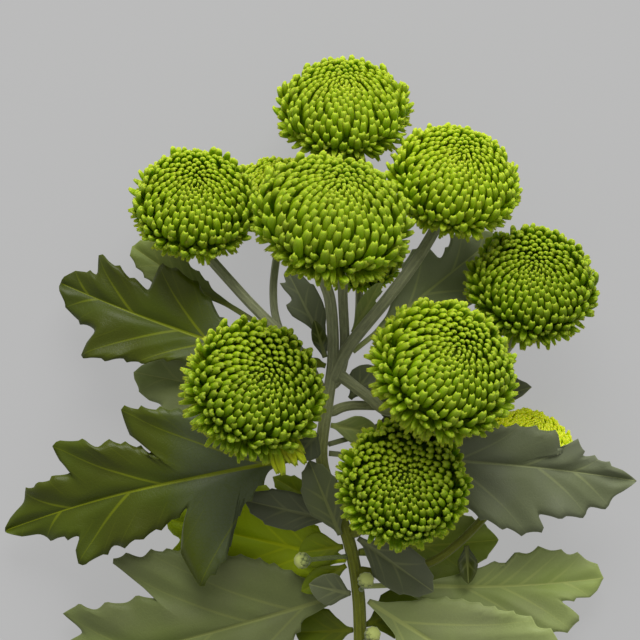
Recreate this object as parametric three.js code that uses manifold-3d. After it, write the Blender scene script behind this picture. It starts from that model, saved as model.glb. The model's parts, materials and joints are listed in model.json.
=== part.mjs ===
// A cut spray of green pompon chrysanthemums: one stem with eleven round heads, lobed leaves and
// three small buds, lying on its back. Millimetres, +Z up, +Y towards the heads, floor at z = 0.
import * as THREE from "three";
import { ConvexHull } from "three/addons/math/ConvexHull.js";
import { mergeVertices } from "three/addons/utils/BufferGeometryUtils.js";
import Module from "manifold-3d";

const wasm = await Module();
wasm.setup();

// Sizes of the whole spray
const SEAT_GAP = 0.3; // clearance left between pieces that grow out of each other
const CENTRE_X = -0.4; // where the middle of the spray's footprint lies, taken off every position
const CENTRE_Y = -97.2;
const UP = new THREE.Vector3(0, 0, 1);

// Sizes of the heads, as shares of a head's radius unless noted
const HEAD_TOP = 0.56; // from the middle of the head to its crown
const HEAD_BASE = 0.66; // the same for the swell below the middle
const HEAD_FLAT = 0.38; // depth at which the underside is flat, where the calyx sits
const HEAD_REACH = 126; // degrees from the crown to the last ring of petals
const CROWN_CROWDING = 0.57; // below 0.6 the petals get smaller towards the crown
const VALLEY = 0.865; // depth of the gaps between petal tips
const TIP_LEAN = 0.075; // how far each tip hooks towards the crown
const TIP_SCATTER = 0.035; // random spread of the petal lengths
const GOLDEN_TURN = Math.PI * (3 - Math.sqrt(5));

// Sizes of the calyxes, stems and buds
const CALYX_HEIGHT = 5;
const CALYX_RADIUS = 0.36; // share of the head's radius
const NECK_RADIUS = 1.9;
const STEM_FOOT_RADIUS = 2.4;
const STEM_TOP_RADIUS = 1.7;
const BUD_RADIUS = 2.9;

// Sizes of the leaves
const BLADE_THICKNESS = 0.6;
const RIB_DEPTH = 1.2; // how far the midrib stands below the blade at the leaf's foot
const STALK_HALF_WIDTH = 0.8; // least half width of a leaf stalk
const RIB_STATIONS = [0, 0.1, 0.2, 0.3, 0.4, 0.52, 0.65, 0.78, 0.9, 1];

// Colours
const GREEN = {
  headBright: 0x8fb51c,
  headYellow: 0xb3bf2a,
  calyx: 0x5d7032,
  stem: 0x66704a,
  darkLeaf: 0x38461c,
  greyLeaf: 0x5b6750,
  freshLeaf: 0x7d9150,
  bud: 0xb9c76a,
};

// The heads: middle, radius, tilt of the crown away from straight up, and which way it tilts
const HEADS = {
  top: { at: [7.6, 66.3, 27], radius: 21.3, tilt: 45, towards: [0, 1], petals: 150 },
  left: { at: [-39.2, 36.4, 34], radius: 20.3, tilt: 33, towards: [3, 25], petals: 140 },
  centre: { at: [3.8, 31, 60], radius: 25, tilt: 46, towards: [8, 28], petals: 165 },
  upper_right: { at: [41.9, 43.4, 38], radius: 21, tilt: 40, towards: [8, 25], petals: 150 },
  right: { at: [66.4, 10.6, 32], radius: 21, tilt: 31, towards: [1, 15], petals: 150 },
  lower_left: { at: [-20.5, -21.6, 56], radius: 22.9, tilt: 27, towards: [9, 11], petals: 160 },
  lower_right: { at: [37.8, -15.5, 58], radius: 23.7, tilt: 33, towards: [11, 16], petals: 160 },
  bottom: { at: [25.6, -50.9, 50], radius: 20.8, tilt: 14, towards: [-1, 8], petals: 150 },
  back_left: { at: [-13, 39.4, 13.1], radius: 16.6, tilt: 50, towards: [0, 1], petals: 100 },
  back_right: { at: [67.3, -40.2, 12.7], radius: 15, tilt: 55, towards: [8, 22], petals: 100 },
  back_centre: { at: [12.8, 20.4, 13.4], radius: 14.5, tilt: 45, towards: [0, 1], petals: 90 },
};

// The stem and its side stems: the points each one runs through, from its foot up. A side stem
// that carries a head ends on that head's axis, just under its calyx.
const STEMS = {
  main: {
    head: "centre",
    run: [
      [5, -278, 2.1], [9, -220, 8.5], [12, -160, 15.5], [12.7, -101.6, 22], [12, -85.6, 24],
      [9.5, -71.2, 26], [4.7, -56.8, 28], [0.6, -44.1, 30], [2.5, -25.2, 31], [4.1, -12.6, 32],
      [3.1, 6.3, 36],
    ],
    radius: [STEM_FOOT_RADIUS, STEM_TOP_RADIUS],
    sides: 8,
    rings: 26,
  },
  top: {
    head: "top",
    run: [[4, -22, 30], [7.4, -12.6, 30], [7.2, 9.5, 29.5], [7.4, 26, 26], [7.5, 40, 17]],
    radius: [1.5, 1.5],
  },
  left: {
    head: "left",
    run: [[2.2, -26, 30.5], [-6.3, -10.1, 30], [-17.4, 0.6, 27], [-25.4, 8.9, 23.5]],
    radius: [1.6, 1.6],
  },
  upper_right: {
    head: "upper_right",
    run: [[3.4, -20, 31.5], [7.9, -10.1, 32.5], [21.4, 6.9, 32], [30.5, 19, 29]],
    radius: [1.9, 1.7],
  },
  right: {
    head: "right",
    run: [[2, -30, 30], [7.9, -27.3, 28.5], [28.5, -26.9, 25], [47.7, -20.7, 20.5], [60.5, -8, 17]],
    radius: [1.4, 1.4],
  },
  lower_left: {
    head: "lower_left",
    run: [[0.8, -40, 30], [-6.3, -35.5, 30.5], [-16, -33, 33]],
    radius: [1.7, 1.6],
  },
  lower_right: {
    head: "lower_right",
    run: [[3.4, -15, 31.5], [8.4, -19, 31], [15.6, -24.5, 31.5], [21, -28.5, 34]],
    radius: [1.7, 1.6],
  },
  bottom: {
    head: "bottom",
    run: [[8.6, -68.5, 26.5], [14.5, -64.5, 27.5], [21.5, -58, 31]],
    radius: [1.7, 1.6],
  },
  back_left: {
    head: "back_left",
    run: [[2.4, -24, 30.5], [-6, -14, 24], [-13.3, -2, 15], [-15, 10, 7]],
    radius: [1.3, 1.2],
  },
  back_right: {
    head: "back_right",
    run: [[10.7, -79, 25], [17.4, -80, 24.5], [35, -77.1, 20.5], [44.1, -71.3, 16], [54, -62, 8]],
    radius: [1.4, 1.3],
  },
  back_centre: {
    head: "back_centre",
    run: [[3, -20, 30.5], [9, -10, 22], [12, -2, 13]],
    radius: [1.3, 1.2],
  },
};

// Half outlines of a leaf as [distance from the midrib, distance from the foot, place along the
// midrib the edge is spanned from], in shares of the leaf's length.
const HALVES = {
  wide: [
    [0.008, 0, 0], [0.022, 0.08, 0.08], [0.045, 0.17, 0.15], [0.12, 0.24, 0.18],
    [0.21, 0.33, 0.22], [0.246, 0.42, 0.27], [0.27, 0.528, 0.31], [0.19, 0.523, 0.33],
    [0.129, 0.472, 0.35], [0.097, 0.445, 0.38], [0.149, 0.513, 0.42], [0.189, 0.6, 0.47],
    [0.176, 0.62, 0.5], [0.212, 0.68, 0.55], [0.215, 0.765, 0.6], [0.167, 0.757, 0.64],
    [0.12, 0.733, 0.68], [0.118, 0.8, 0.74], [0.098, 0.9, 0.84], [0.068, 0.912, 0.88],
    [0.034, 0.968, 0.94], [0, 1, 1],
  ],
  hanging: [
    [0.008, 0, 0], [0.008, 0.1, 0.1], [0.014, 0.14, 0.13], [0.123, 0.277, 0.18],
    [0.25, 0.346, 0.21], [0.3, 0.425, 0.24], [0.19, 0.462, 0.26], [0.117, 0.435, 0.28],
    [0.06, 0.4, 0.31], [0.104, 0.517, 0.42], [0.128, 0.637, 0.5], [0.117, 0.655, 0.53],
    [0.139, 0.7, 0.57], [0.149, 0.776, 0.62], [0.108, 0.775, 0.64], [0.068, 0.748, 0.68],
    [0.06, 0.8, 0.74], [0.05, 0.868, 0.8], [0.033, 0.885, 0.85], [0.03, 0.943, 0.92], [0, 1, 1],
  ],
  cut: [
    [0.008, 0, 0], [0.008, 0.15, 0.15], [0.03, 0.24, 0.2], [0.087, 0.36, 0.27],
    [0.144, 0.44, 0.32], [0.182, 0.5, 0.36], [0.197, 0.59, 0.42], [0.19, 0.64, 0.46],
    [0.083, 0.65, 0.5], [0.108, 0.734, 0.56], [0.134, 0.8, 0.62], [0.147, 0.885, 0.68],
    [0.1, 0.87, 0.72], [0.074, 0.86, 0.76], [0.072, 0.91, 0.82], [0.062, 0.958, 0.88],
    [0.028, 0.99, 0.95], [0, 1, 1],
  ],
  broad: [
    [0.008, 0, 0], [0.008, 0.15, 0.15], [0.04, 0.25, 0.2], [0.09, 0.38, 0.28],
    [0.13, 0.5, 0.36], [0.174, 0.59, 0.42], [0.18, 0.65, 0.46], [0.211, 0.724, 0.52],
    [0.226, 0.805, 0.58], [0.174, 0.803, 0.62], [0.121, 0.781, 0.68], [0.112, 0.82, 0.73],
    [0.107, 0.872, 0.78], [0.079, 0.94, 0.84], [0.062, 0.946, 0.88], [0.03, 0.982, 0.95],
    [0, 1, 1],
  ],
  forward: [
    [0.008, 0, 0], [0.03, 0.06, 0.06], [0.09, 0.14, 0.12], [0.18, 0.27, 0.18],
    [0.25, 0.45, 0.27], [0.29, 0.6, 0.36], [0.275, 0.622, 0.38], [0.297, 0.69, 0.42], [0.28, 0.73, 0.45],
    [0.2, 0.665, 0.48], [0.136, 0.615, 0.5], [0.152, 0.7, 0.56], [0.143, 0.72, 0.58],
    [0.157, 0.8, 0.64], [0.146, 0.82, 0.67], [0.172, 0.9, 0.71], [0.16, 0.945, 0.74],
    [0.115, 0.915, 0.77], [0.08, 0.895, 0.8], [0.07, 0.945, 0.86], [0.045, 0.98, 0.92],
    [0, 1, 1],
  ],
  shoulder: [
    [0.008, 0, 0], [0.008, 0.12, 0.12], [0.03, 0.2, 0.17], [0.09, 0.33, 0.25],
    [0.132, 0.459, 0.32], [0.166, 0.515, 0.36], [0.187, 0.584, 0.4], [0.196, 0.65, 0.45],
    [0.175, 0.703, 0.5], [0.147, 0.688, 0.56], [0.131, 0.68, 0.6], [0.134, 0.77, 0.66],
    [0.12, 0.838, 0.72], [0.095, 0.842, 0.76], [0.087, 0.91, 0.82], [0.058, 0.918, 0.86],
    [0.04, 0.95, 0.92], [0, 1, 1],
  ],
  ridge: [
    [0.008, 0, 0], [0.008, 0.12, 0.12], [0.03, 0.2, 0.17], [0.09, 0.36, 0.27],
    [0.13, 0.5, 0.36], [0.141, 0.6, 0.42], [0.131, 0.72, 0.5], [0.06, 0.74, 0.56],
    [0.1, 0.76, 0.6], [0.12, 0.79, 0.64], [0.062, 0.81, 0.7], [0.058, 0.863, 0.78],
    [0.043, 0.905, 0.84], [0.033, 0.945, 0.9], [0, 1, 1],
  ],
  rounded: [
    [0.008, 0, 0], [0.008, 0.26, 0.25], [0.03, 0.38, 0.33], [0.078, 0.56, 0.42],
    [0.074, 0.6, 0.45], [0.115, 0.65, 0.5], [0.105, 0.68, 0.53], [0.133, 0.744, 0.58],
    [0.118, 0.775, 0.62], [0.126, 0.82, 0.66], [0.098, 0.845, 0.7], [0.098, 0.905, 0.76],
    [0.072, 0.93, 0.82], [0.058, 0.975, 0.88], [0.02, 0.988, 0.95], [0, 1, 1],
  ],
  fan: [
    [0.008, 0, 0], [0.01, 0.14, 0.14], [0.07, 0.24, 0.2], [0.16, 0.4, 0.3], [0.207, 0.6, 0.42],
    [0.236, 0.744, 0.5], [0.212, 0.775, 0.54], [0.203, 0.85, 0.58], [0.15, 0.89, 0.62],
    [0.115, 0.85, 0.66], [0.088, 0.81, 0.7], [0.076, 0.88, 0.78], [0.077, 0.94, 0.84],
    [0.05, 0.972, 0.9], [0, 1, 1],
  ],
  plain: [
    [0.02, 0, 0], [0.03, 0.1, 0.1], [0.12, 0.25, 0.22], [0.2, 0.42, 0.38], [0.21, 0.55, 0.5],
    [0.17, 0.74, 0.68], [0.08, 0.92, 0.86], [0, 1, 1],
  ],
};

// The leaves: the stem each grows from and near which point, its tip, the share by which it is
// wider than its outline, roll and droop in degrees, the lift of each half towards a V, and the
// half outlines on its left and right when seen from the foot towards the tip.
const LEAVES = {
  left_upper: {
    on: "left", foot: [-3.5, -15.5, 30.5], tip: [-83.3, 11.9, 12],
    width: 1, roll: 0, droop: 24, lift: 6, halves: ["broad", "cut"], colour: GREEN.darkLeaf,
  },
  left_behind: {
    on: "left", foot: [-17.4, 0.6, 27], tip: [-60.6, 23.8, 6],
    width: 1, roll: 0, droop: -10, lift: 8, halves: ["rounded", "rounded"], colour: GREEN.freshLeaf,
  },
  left_mid: {
    on: "main", foot: [2.2, -29, 31], tip: [-60.1, -16.7, 8],
    width: 1.15, roll: 10, droop: 10, lift: 5, halves: ["broad", "wide"], colour: GREEN.freshLeaf,
  },
  left_large: {
    on: "main", foot: [0.6, -42.3, 30], tip: [-101.4, -67.7, 9],
    width: 1, roll: 0, droop: 26, lift: 5, halves: ["hanging", "wide"], colour: GREEN.darkLeaf,
  },
  left_lower: {
    on: "main", foot: [12, -86, 24], tip: [-83.5, -111, 4],
    width: 1, roll: 0, droop: 18, lift: 4, halves: ["wide", "forward"], colour: GREEN.freshLeaf,
  },
  left_bright: {
    on: "main", foot: [8, -76, 25], tip: [-49.5, -64, 8],
    width: 1.05, roll: 0, droop: -14, lift: 4, halves: ["forward", "forward"], colour: GREEN.freshLeaf,
  },
  left_inner: {
    on: "main", foot: [4, -64, 28], tip: [-24.4, -57.1, 23],
    width: 1, roll: -8, droop: 20, lift: 6, halves: ["plain", "plain"], colour: GREEN.greyLeaf,
  },
  left_slip: {
    on: "main", foot: [3, -60, 28], tip: [-15.3, -50, 16],
    width: 0.8, roll: 0, droop: 10, lift: 8, halves: ["plain", "plain"], colour: GREEN.freshLeaf,
  },
  right_upper: {
    on: "upper_right", foot: [9, -9, 32.5], tip: [56.7, 26.9, 10],
    width: 1.05, roll: 0, droop: 20, lift: 5, halves: ["cut", "broad"], colour: GREEN.greyLeaf,
  },
  right_behind: {
    on: "main", foot: [1.2, -38.5, 30], tip: [68.3, -21.6, 7],
    width: 0.82, roll: 0, droop: -12, lift: 5, halves: ["broad", "ridge"], colour: GREEN.greyLeaf,
  },
  right_large: {
    on: "main", foot: [0.7, -42.5, 30], tip: [100.7, -51.1, 22],
    width: 1, roll: 0, droop: 14, lift: 9, halves: ["ridge", "shoulder"], colour: GREEN.greyLeaf,
  },
  right_lower: {
    on: "main", foot: [11.8, -84.5, 24], tip: [91.3, -83, 8],
    width: 1, roll: 0, droop: -8, lift: 4, halves: ["rounded", "fan"], colour: GREEN.freshLeaf,
  },
  right_bottom: {
    on: "main", foot: [12.2, -88.8, 23.5], tip: [78.4, -132.8, 14],
    width: 1.1, roll: 0, droop: 22, lift: 5, halves: ["forward", "wide"], colour: GREEN.freshLeaf,
  },
  right_pale: {
    on: "main", foot: [10.3, -74.5, 25.5], tip: [57.7, -70.9, 5],
    width: 1.1, roll: 0, droop: -14, lift: 5, halves: ["plain", "plain"], colour: GREEN.freshLeaf,
  },
  under_bottom: {
    on: "main", foot: [9, -69.5, 26], tip: [36, -86, 27],
    width: 1.2, roll: 0, droop: 20, lift: 8, halves: ["plain", "plain"], colour: GREEN.greyLeaf,
  },
  low_round: {
    on: "main", foot: [11, -86, 24], tip: [-3.5, -83.3, 30],
    width: 1.7, roll: 0, droop: 30, lift: 6, halves: ["plain", "plain"], colour: GREEN.greyLeaf,
  },
  right_bract: {
    on: "back_right", foot: [44.8, -71.3, 14], tip: [47.2, -83.9, 21],
    width: 1.2, roll: 0, droop: 30, lift: 8, halves: ["plain", "plain"], colour: GREEN.darkLeaf,
  },
  left_bract: {
    on: "main", foot: [2, -35.5, 31], tip: [-8, -43.5, 40],
    width: 1.9, roll: 0, droop: 30, lift: 8, halves: ["plain", "plain"], colour: GREEN.greyLeaf,
  },
  left_wing: {
    on: "main", foot: [8, -67, 26.5], tip: [-3.5, -44, 35],
    width: 1.15, roll: -10, droop: 20, lift: 8, halves: ["plain", "plain"], colour: GREEN.greyLeaf,
  },
  left_tuck: {
    on: "main", foot: [8.7, -71, 26], tip: [-7, -74, 22],
    width: 1.9, roll: 0, droop: 20, lift: 6, halves: ["plain", "plain"], colour: GREEN.freshLeaf,
  },
  inner_dark: {
    on: "lower_right", foot: [15.6, -24.5, 31.5], tip: [28, -31, 28],
    width: 1.4, roll: 0, droop: 16, lift: 6, halves: ["plain", "plain"], colour: GREEN.darkLeaf,
  },
  inner_pale: {
    on: "main", foot: [1.8, -33, 30.5], tip: [19, -36, 25],
    width: 1.3, roll: 0, droop: 20, lift: 8, halves: ["plain", "plain"], colour: GREEN.freshLeaf,
  },
  junction_left: {
    on: "main", foot: [3.6, -12, 32], tip: [-1.8, 0, 38],
    width: 0.9, roll: 0, droop: 30, lift: 10, halves: ["plain", "plain"], colour: GREEN.darkLeaf,
  },
  junction_base: {
    on: "main", foot: [3.4, -15, 32], tip: [-4, -12.5, 34],
    width: 1.2, roll: 0, droop: 20, lift: 8, halves: ["plain", "plain"], colour: GREEN.freshLeaf,
  },
  junction_right: {
    on: "right", foot: [10, -27.3, 28.2], tip: [17.5, -14.5, 22],
    width: 1.7, roll: 0, droop: 14, lift: 6, halves: ["plain", "plain"], colour: GREEN.greyLeaf,
  },
  base_left: {
    on: "main", foot: [12.6, -99, 22.3], tip: [-8, -100, 13],
    width: 1.8, roll: 0, droop: 12, lift: 6, halves: ["plain", "plain"], colour: GREEN.freshLeaf,
  },
  base_right: {
    on: "main", foot: [12.6, -97, 22.6], tip: [33, -91, 10],
    width: 1.7, roll: 0, droop: -10, lift: 6, halves: ["plain", "plain"], colour: GREEN.freshLeaf,
  },
  low_tuck: {
    on: "main", foot: [10.6, -78, 25.2], tip: [-6, -86, 25.8],
    width: 1.2, roll: 0, droop: 8, lift: 3, halves: ["plain", "plain"], colour: GREEN.freshLeaf,
  },
  right_wing: {
    on: "main", foot: [7.5, -61, 27.2], tip: [11.5, -41, 35],
    width: 0.9, roll: 0, droop: 16, lift: 8, halves: ["plain", "plain"], colour: GREEN.greyLeaf,
  },
  back_upper_left: {
    on: "main", foot: [3.4, -9.5, 32], tip: [-10.5, 16, 20],
    width: 0.9, roll: 0, droop: 10, lift: 6, halves: ["cut", "plain"], colour: GREEN.greyLeaf,
  },
  back_upper: {
    on: "top", foot: [7.2, -4, 29.8], tip: [19, 12, 27.5],
    width: 0.8, roll: 0, droop: 14, lift: 6, halves: ["plain", "cut"], colour: GREEN.freshLeaf,
  },
  low_left: {
    on: "main", foot: [12.5, -122, 19], tip: [-66, -150, 3],
    width: 1, roll: 0, droop: 18, lift: 4, halves: ["cut", "broad"], colour: GREEN.freshLeaf,
  },
  low_right: {
    on: "main", foot: [12.4, -134, 18], tip: [76, -168, 3],
    width: 1, roll: 0, droop: 18, lift: 4, halves: ["broad", "wide"], colour: GREEN.freshLeaf,
  },
  low_small: {
    on: "main", foot: [11.5, -170, 14], tip: [-38, -192, 2.5],
    width: 1, roll: 0, droop: 14, lift: 4, halves: ["fan", "cut"], colour: GREEN.freshLeaf,
  },
};

// The buds on their short stalks
const BUDS = {
  left: { on: "main", foot: [8.5, -75, 25.5], tip: [-8.5, -76, 31] },
  middle: { on: "main", foot: [11.8, -85, 24], tip: [15.2, -80.3, 32.5] },
  low: { on: "main", foot: [12.7, -101.6, 22], tip: [18, -97.9, 30] },
};

function vector(list) {
  return new THREE.Vector3(list[0], list[1], list[2]);
}

// A steady pseudo-random number from 0 to 1 for each petal of each head.
function scatter(seed) {
  const wave = Math.sin(seed * 12.9898) * 43758.5453;
  return wave - Math.floor(wave);
}

// A geometry as a closed solid, with seams welded and collapsed triangles dropped.
function solidOf(geometry) {
  const bare = new THREE.BufferGeometry();
  bare.setAttribute("position", geometry.getAttribute("position"));
  bare.setIndex(geometry.getIndex());
  const welded = mergeVertices(bare, 1e-4);
  const index = welded.getIndex().array;
  const kept = [];
  for (let i = 0; i < index.length; i += 3) {
    const [a, b, c] = [index[i], index[i + 1], index[i + 2]];
    if (a !== b && b !== c && c !== a) {
      kept.push(a, b, c);
    }
  }
  const mesh = new wasm.Mesh({
    numProp: 3,
    vertProperties: Float32Array.from(welded.getAttribute("position").array),
    triVerts: Uint32Array.from(kept),
  });
  return new wasm.Manifold(mesh);
}

function geometryOf(solid) {
  const mesh = solid.getMesh();
  const geometry = new THREE.BufferGeometry();
  const points = Float32Array.from(mesh.vertProperties);
  geometry.setAttribute("position", new THREE.BufferAttribute(points, 3));
  geometry.setIndex(Array.from(mesh.triVerts));
  return flatShaded(geometry);
}

function flatShaded(geometry) {
  const loose = geometry.toNonIndexed();
  loose.computeVertexNormals();
  return loose;
}

function indexedGeometry(points, triangles) {
  const geometry = new THREE.BufferGeometry();
  geometry.setFromPoints(points);
  geometry.setIndex(triangles);
  return geometry;
}

function addMesh(group, name, geometry, colour, roughness) {
  const material = new THREE.MeshStandardMaterial({ color: colour, roughness, metalness: 0 });
  const mesh = new THREE.Mesh(geometry, material);
  mesh.name = name;
  group.add(mesh);
  return mesh;
}

// Heads

function headAxis(head) {
  const tilt = THREE.MathUtils.degToRad(head.tilt);
  const [x, y] = head.towards;
  const reach = Math.hypot(x, y);
  return new THREE.Vector3(
    (Math.sin(tilt) * x) / reach,
    (Math.sin(tilt) * y) / reach,
    Math.cos(tilt),
  );
}

// Petal directions on a sunflower spiral that starts at the crown.
function petalDirections(count) {
  const directions = [];
  for (let i = 0; i < count; i++) {
    const share = Math.pow((i + 0.5) / count, CROWN_CROWDING);
    const polar = THREE.MathUtils.degToRad(HEAD_REACH) * share;
    const turn = i * GOLDEN_TURN;
    directions.push(
      new THREE.Vector3(
        Math.sin(polar) * Math.cos(turn),
        Math.sin(polar) * Math.sin(turn),
        Math.cos(polar),
      ),
    );
  }
  return directions;
}

// A point of the head's rounded form: direction from its middle, and share of the full size.
function onHead(direction, radius, share) {
  const depth = direction.z > 0 ? HEAD_TOP : HEAD_BASE;
  return new THREE.Vector3(
    direction.x * radius * share,
    direction.y * radius * share,
    Math.max(direction.z * radius * depth * share, -HEAD_FLAT * radius),
  );
}

function petalTip(direction, radius, seed) {
  const hooked = direction.clone();
  hooked.z += TIP_LEAN * Math.hypot(direction.x, direction.y);
  const share = 1 + TIP_SCATTER * (scatter(seed) - 0.5) * 2;
  const flat = direction.z * HEAD_BASE <= -HEAD_FLAT;
  return flat ? onHead(direction, radius, 1) : onHead(hooked.normalize(), radius, share);
}

// The head as one solid: a point for each petal, with a low point between each three of them.
function headGeometry(head, order) {
  const directions = petalDirections(head.petals);
  const hull = new ConvexHull().setFromPoints(directions);
  const numberOf = new Map(directions.map((direction, i) => [direction, i]));
  const points = directions.map((direction, i) =>
    petalTip(direction, head.radius, i + 0.5 + order * 211),
  );
  const triangles = [];
  for (const face of hull.faces) {
    const corners = [face.edge, face.edge.next, face.edge.next.next].map((edge) =>
      numberOf.get(edge.head().point),
    );
    const middle = new THREE.Vector3();
    corners.forEach((i) => middle.add(directions[i]));
    middle.divideScalar(3);
    if (middle.z * HEAD_BASE < -HEAD_FLAT * 0.92) {
      triangles.push(...corners);
      continue;
    }
    const low = points.length;
    points.push(onHead(middle.normalize(), head.radius, VALLEY));
    for (let k = 0; k < 3; k++) {
      triangles.push(corners[k], corners[(k + 1) % 3], low);
    }
  }
  return indexedGeometry(points, triangles);
}

// Petals that reach the floor are pressed flat against it.
function pressedOnFloor(geometry, position, turn) {
  const floorUp = UP.clone().applyQuaternion(turn.clone().invert());
  const solid = solidOf(geometry);
  const pressed = solid.trimByPlane([floorUp.x, floorUp.y, floorUp.z], -position.z);
  return geometryOf(pressed);
}

function addHead(group, name, head, order) {
  const position = vector(head.at);
  const turn = new THREE.Quaternion().setFromUnitVectors(UP, headAxis(head));
  const geometry = headGeometry(head, order);
  const low = name === "back_left" || name === "back_right";
  const shaped = low ? pressedOnFloor(geometry, position, turn) : flatShaded(geometry);
  const colour = name === "back_right" ? GREEN.headYellow : GREEN.headBright;
  const mesh = addMesh(group, "head_" + name, shaped, colour, 0.55);
  mesh.position.copy(position);
  mesh.quaternion.copy(turn);
}

// Calyxes

function addCalyx(group, name, head) {
  const top = -HEAD_FLAT * head.radius - SEAT_GAP;
  const wide = CALYX_RADIUS * head.radius;
  const profile = [
    [0, top - CALYX_HEIGHT],
    [NECK_RADIUS, top - CALYX_HEIGHT],
    [NECK_RADIUS + 0.9, top - CALYX_HEIGHT * 0.72],
    [wide * 0.78, top - CALYX_HEIGHT * 0.3],
    [wide, top],
    [0, top],
  ].map(([x, y]) => new THREE.Vector2(x, y));
  const geometry = new THREE.LatheGeometry(profile, 10);
  geometry.rotateX(Math.PI / 2);
  const mesh = addMesh(group, "calyx_" + name, geometryOf(solidOf(geometry)), GREEN.calyx, 0.7);
  mesh.position.copy(vector(head.at));
  mesh.quaternion.setFromUnitVectors(UP, headAxis(head));
}

// Stems

// The last two points of a side stem, in line with the axis of the head it carries.
function stemEnd(head) {
  const axis = headAxis(head);
  const depth = HEAD_FLAT * head.radius + CALYX_HEIGHT + 2 * SEAT_GAP;
  const end = vector(head.at).addScaledVector(axis, -depth);
  const before = end.clone().addScaledVector(axis, -0.22 * head.radius);
  return [before, end];
}

function stemCurve(stem) {
  const points = stem.run.map(vector);
  points.push(...stemEnd(HEADS[stem.head]));
  return new THREE.CatmullRomCurve3(points, false, "centripetal");
}

// A closed, tapering tube along a curve.
function tubeSolid(curve, radii, sides, rings) {
  const frames = curve.computeFrenetFrames(rings, false);
  const points = [];
  const triangles = [];
  for (let i = 0; i <= rings; i++) {
    const centre = curve.getPointAt(i / rings);
    const radius = THREE.MathUtils.lerp(radii[0], radii[1], i / rings);
    for (let k = 0; k < sides; k++) {
      const turn = (2 * Math.PI * k) / sides;
      const point = centre.clone();
      point.addScaledVector(frames.normals[i], radius * Math.cos(turn));
      point.addScaledVector(frames.binormals[i], radius * Math.sin(turn));
      points.push(point);
    }
  }
  for (let i = 0; i < rings; i++) {
    for (let k = 0; k < sides; k++) {
      const a = i * sides + k;
      const b = i * sides + ((k + 1) % sides);
      triangles.push(a, b, b + sides, a, b + sides, a + sides);
    }
  }
  const last = rings * sides;
  for (let k = 1; k < sides - 1; k++) {
    triangles.push(0, k + 1, k);
    triangles.push(last, last + k, last + k + 1);
  }
  return solidOf(indexedGeometry(points, triangles));
}

function addStem(group) {
  let whole = null;
  for (const stem of Object.values(STEMS)) {
    const rings = stem.rings ?? 3 + 2 * stem.run.length;
    const tube = tubeSolid(stemCurve(stem), stem.radius, stem.sides ?? 6, rings);
    whole = whole ? whole.add(tube) : tube;
  }
  const resting = whole.trimByPlane([0, 0, 1], 0);
  addMesh(group, "stem", geometryOf(resting), GREEN.stem, 0.7);
}

// The point of a stem nearest to a wanted foot, its direction there and its radius.
function footOn(stemName, wanted) {
  const stem = STEMS[stemName];
  const curve = stemCurve(stem);
  const target = vector(wanted);
  const steps = 200;
  let best = 0;
  let nearest = Infinity;
  for (let i = 0; i <= steps; i++) {
    const distance = curve.getPointAt(i / steps).distanceTo(target);
    if (distance < nearest) {
      nearest = distance;
      best = i / steps;
    }
  }
  return {
    point: curve.getPointAt(best),
    along: curve.getTangentAt(best),
    radius: THREE.MathUtils.lerp(stem.radius[0], stem.radius[1], best),
  };
}

// Where a stalk of a given half width starts, just clear of the stem it grows from.
function startOf(stemName, wanted, tip, halfWidth) {
  const foot = footOn(stemName, wanted);
  const heading = tip.clone().sub(foot.point).normalize();
  const lean = Math.abs(heading.dot(foot.along));
  const outward = heading.addScaledVector(foot.along, -heading.dot(foot.along)).normalize();
  return foot.point.addScaledVector(outward, foot.radius + SEAT_GAP + halfWidth * lean);
}

// Leaves

// The measures a leaf is bent by: its midrib is an arc in the upright plane through foot and tip.
function leafForm(leaf) {
  const tip = vector(leaf.tip);
  const start = startOf(leaf.on, leaf.foot, tip, STALK_HALF_WIDTH + 0.4);
  const chord = tip.sub(start);
  const droop = THREE.MathUtils.degToRad(leaf.droop);
  const reach = Math.hypot(chord.x, chord.y);
  const length = (chord.length() * (droop / 2)) / Math.sin(droop / 2);
  return {
    start,
    droop,
    length,
    pitch: Math.atan2(chord.z, reach) + droop / 2,
    heading: new THREE.Vector3(chord.x / reach, chord.y / reach, 0),
    roll: THREE.MathUtils.degToRad(leaf.roll),
    lift: THREE.MathUtils.degToRad(leaf.lift),
    width: leaf.width,
  };
}

// A point of the leaf's mid surface and the way its upper face looks there.
function bladePoint(form, across, along) {
  const { start, heading, pitch, droop, length } = form;
  const here = pitch - droop * along;
  const out = (length * (Math.sin(pitch) - Math.sin(here))) / droop;
  const up = (length * (Math.cos(here) - Math.cos(pitch))) / droop;
  const centre = start.clone().addScaledVector(heading, out).addScaledVector(UP, up);
  const level = UP.clone().cross(heading);
  const tangent = heading.clone().multiplyScalar(Math.cos(here));
  tangent.addScaledVector(UP, Math.sin(here));
  const upright = tangent.clone().cross(level);
  const side = level.clone().applyAxisAngle(tangent, form.roll);
  const normal = upright.applyAxisAngle(tangent, form.roll);
  const hand = Math.sign(across);
  const distance = Math.abs(across);
  const point = centre.addScaledVector(side, hand * distance * Math.cos(form.lift));
  point.addScaledVector(normal, distance * Math.sin(form.lift));
  const facing = normal.clone().multiplyScalar(Math.cos(form.lift));
  facing.addScaledVector(side, -hand * Math.sin(form.lift));
  return { point, facing: hand === 0 ? normal : facing };
}

// One half of the blade as strips between the midrib and the outline.
function spanHalf(outline) {
  const strips = [];
  let rib = 0;
  let edge = 0;
  while (rib < RIB_STATIONS.length - 1 || edge < outline.length - 1) {
    const nextRib = RIB_STATIONS[rib + 1] ?? Infinity;
    const nextEdge = outline[edge + 1]?.[2] ?? Infinity;
    if (nextRib < nextEdge) {
      strips.push(["rib", rib, "rib", rib + 1, "edge", edge]);
      rib += 1;
    } else {
      strips.push(["rib", rib, "edge", edge + 1, "edge", edge]);
      edge += 1;
    }
  }
  return strips;
}

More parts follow.
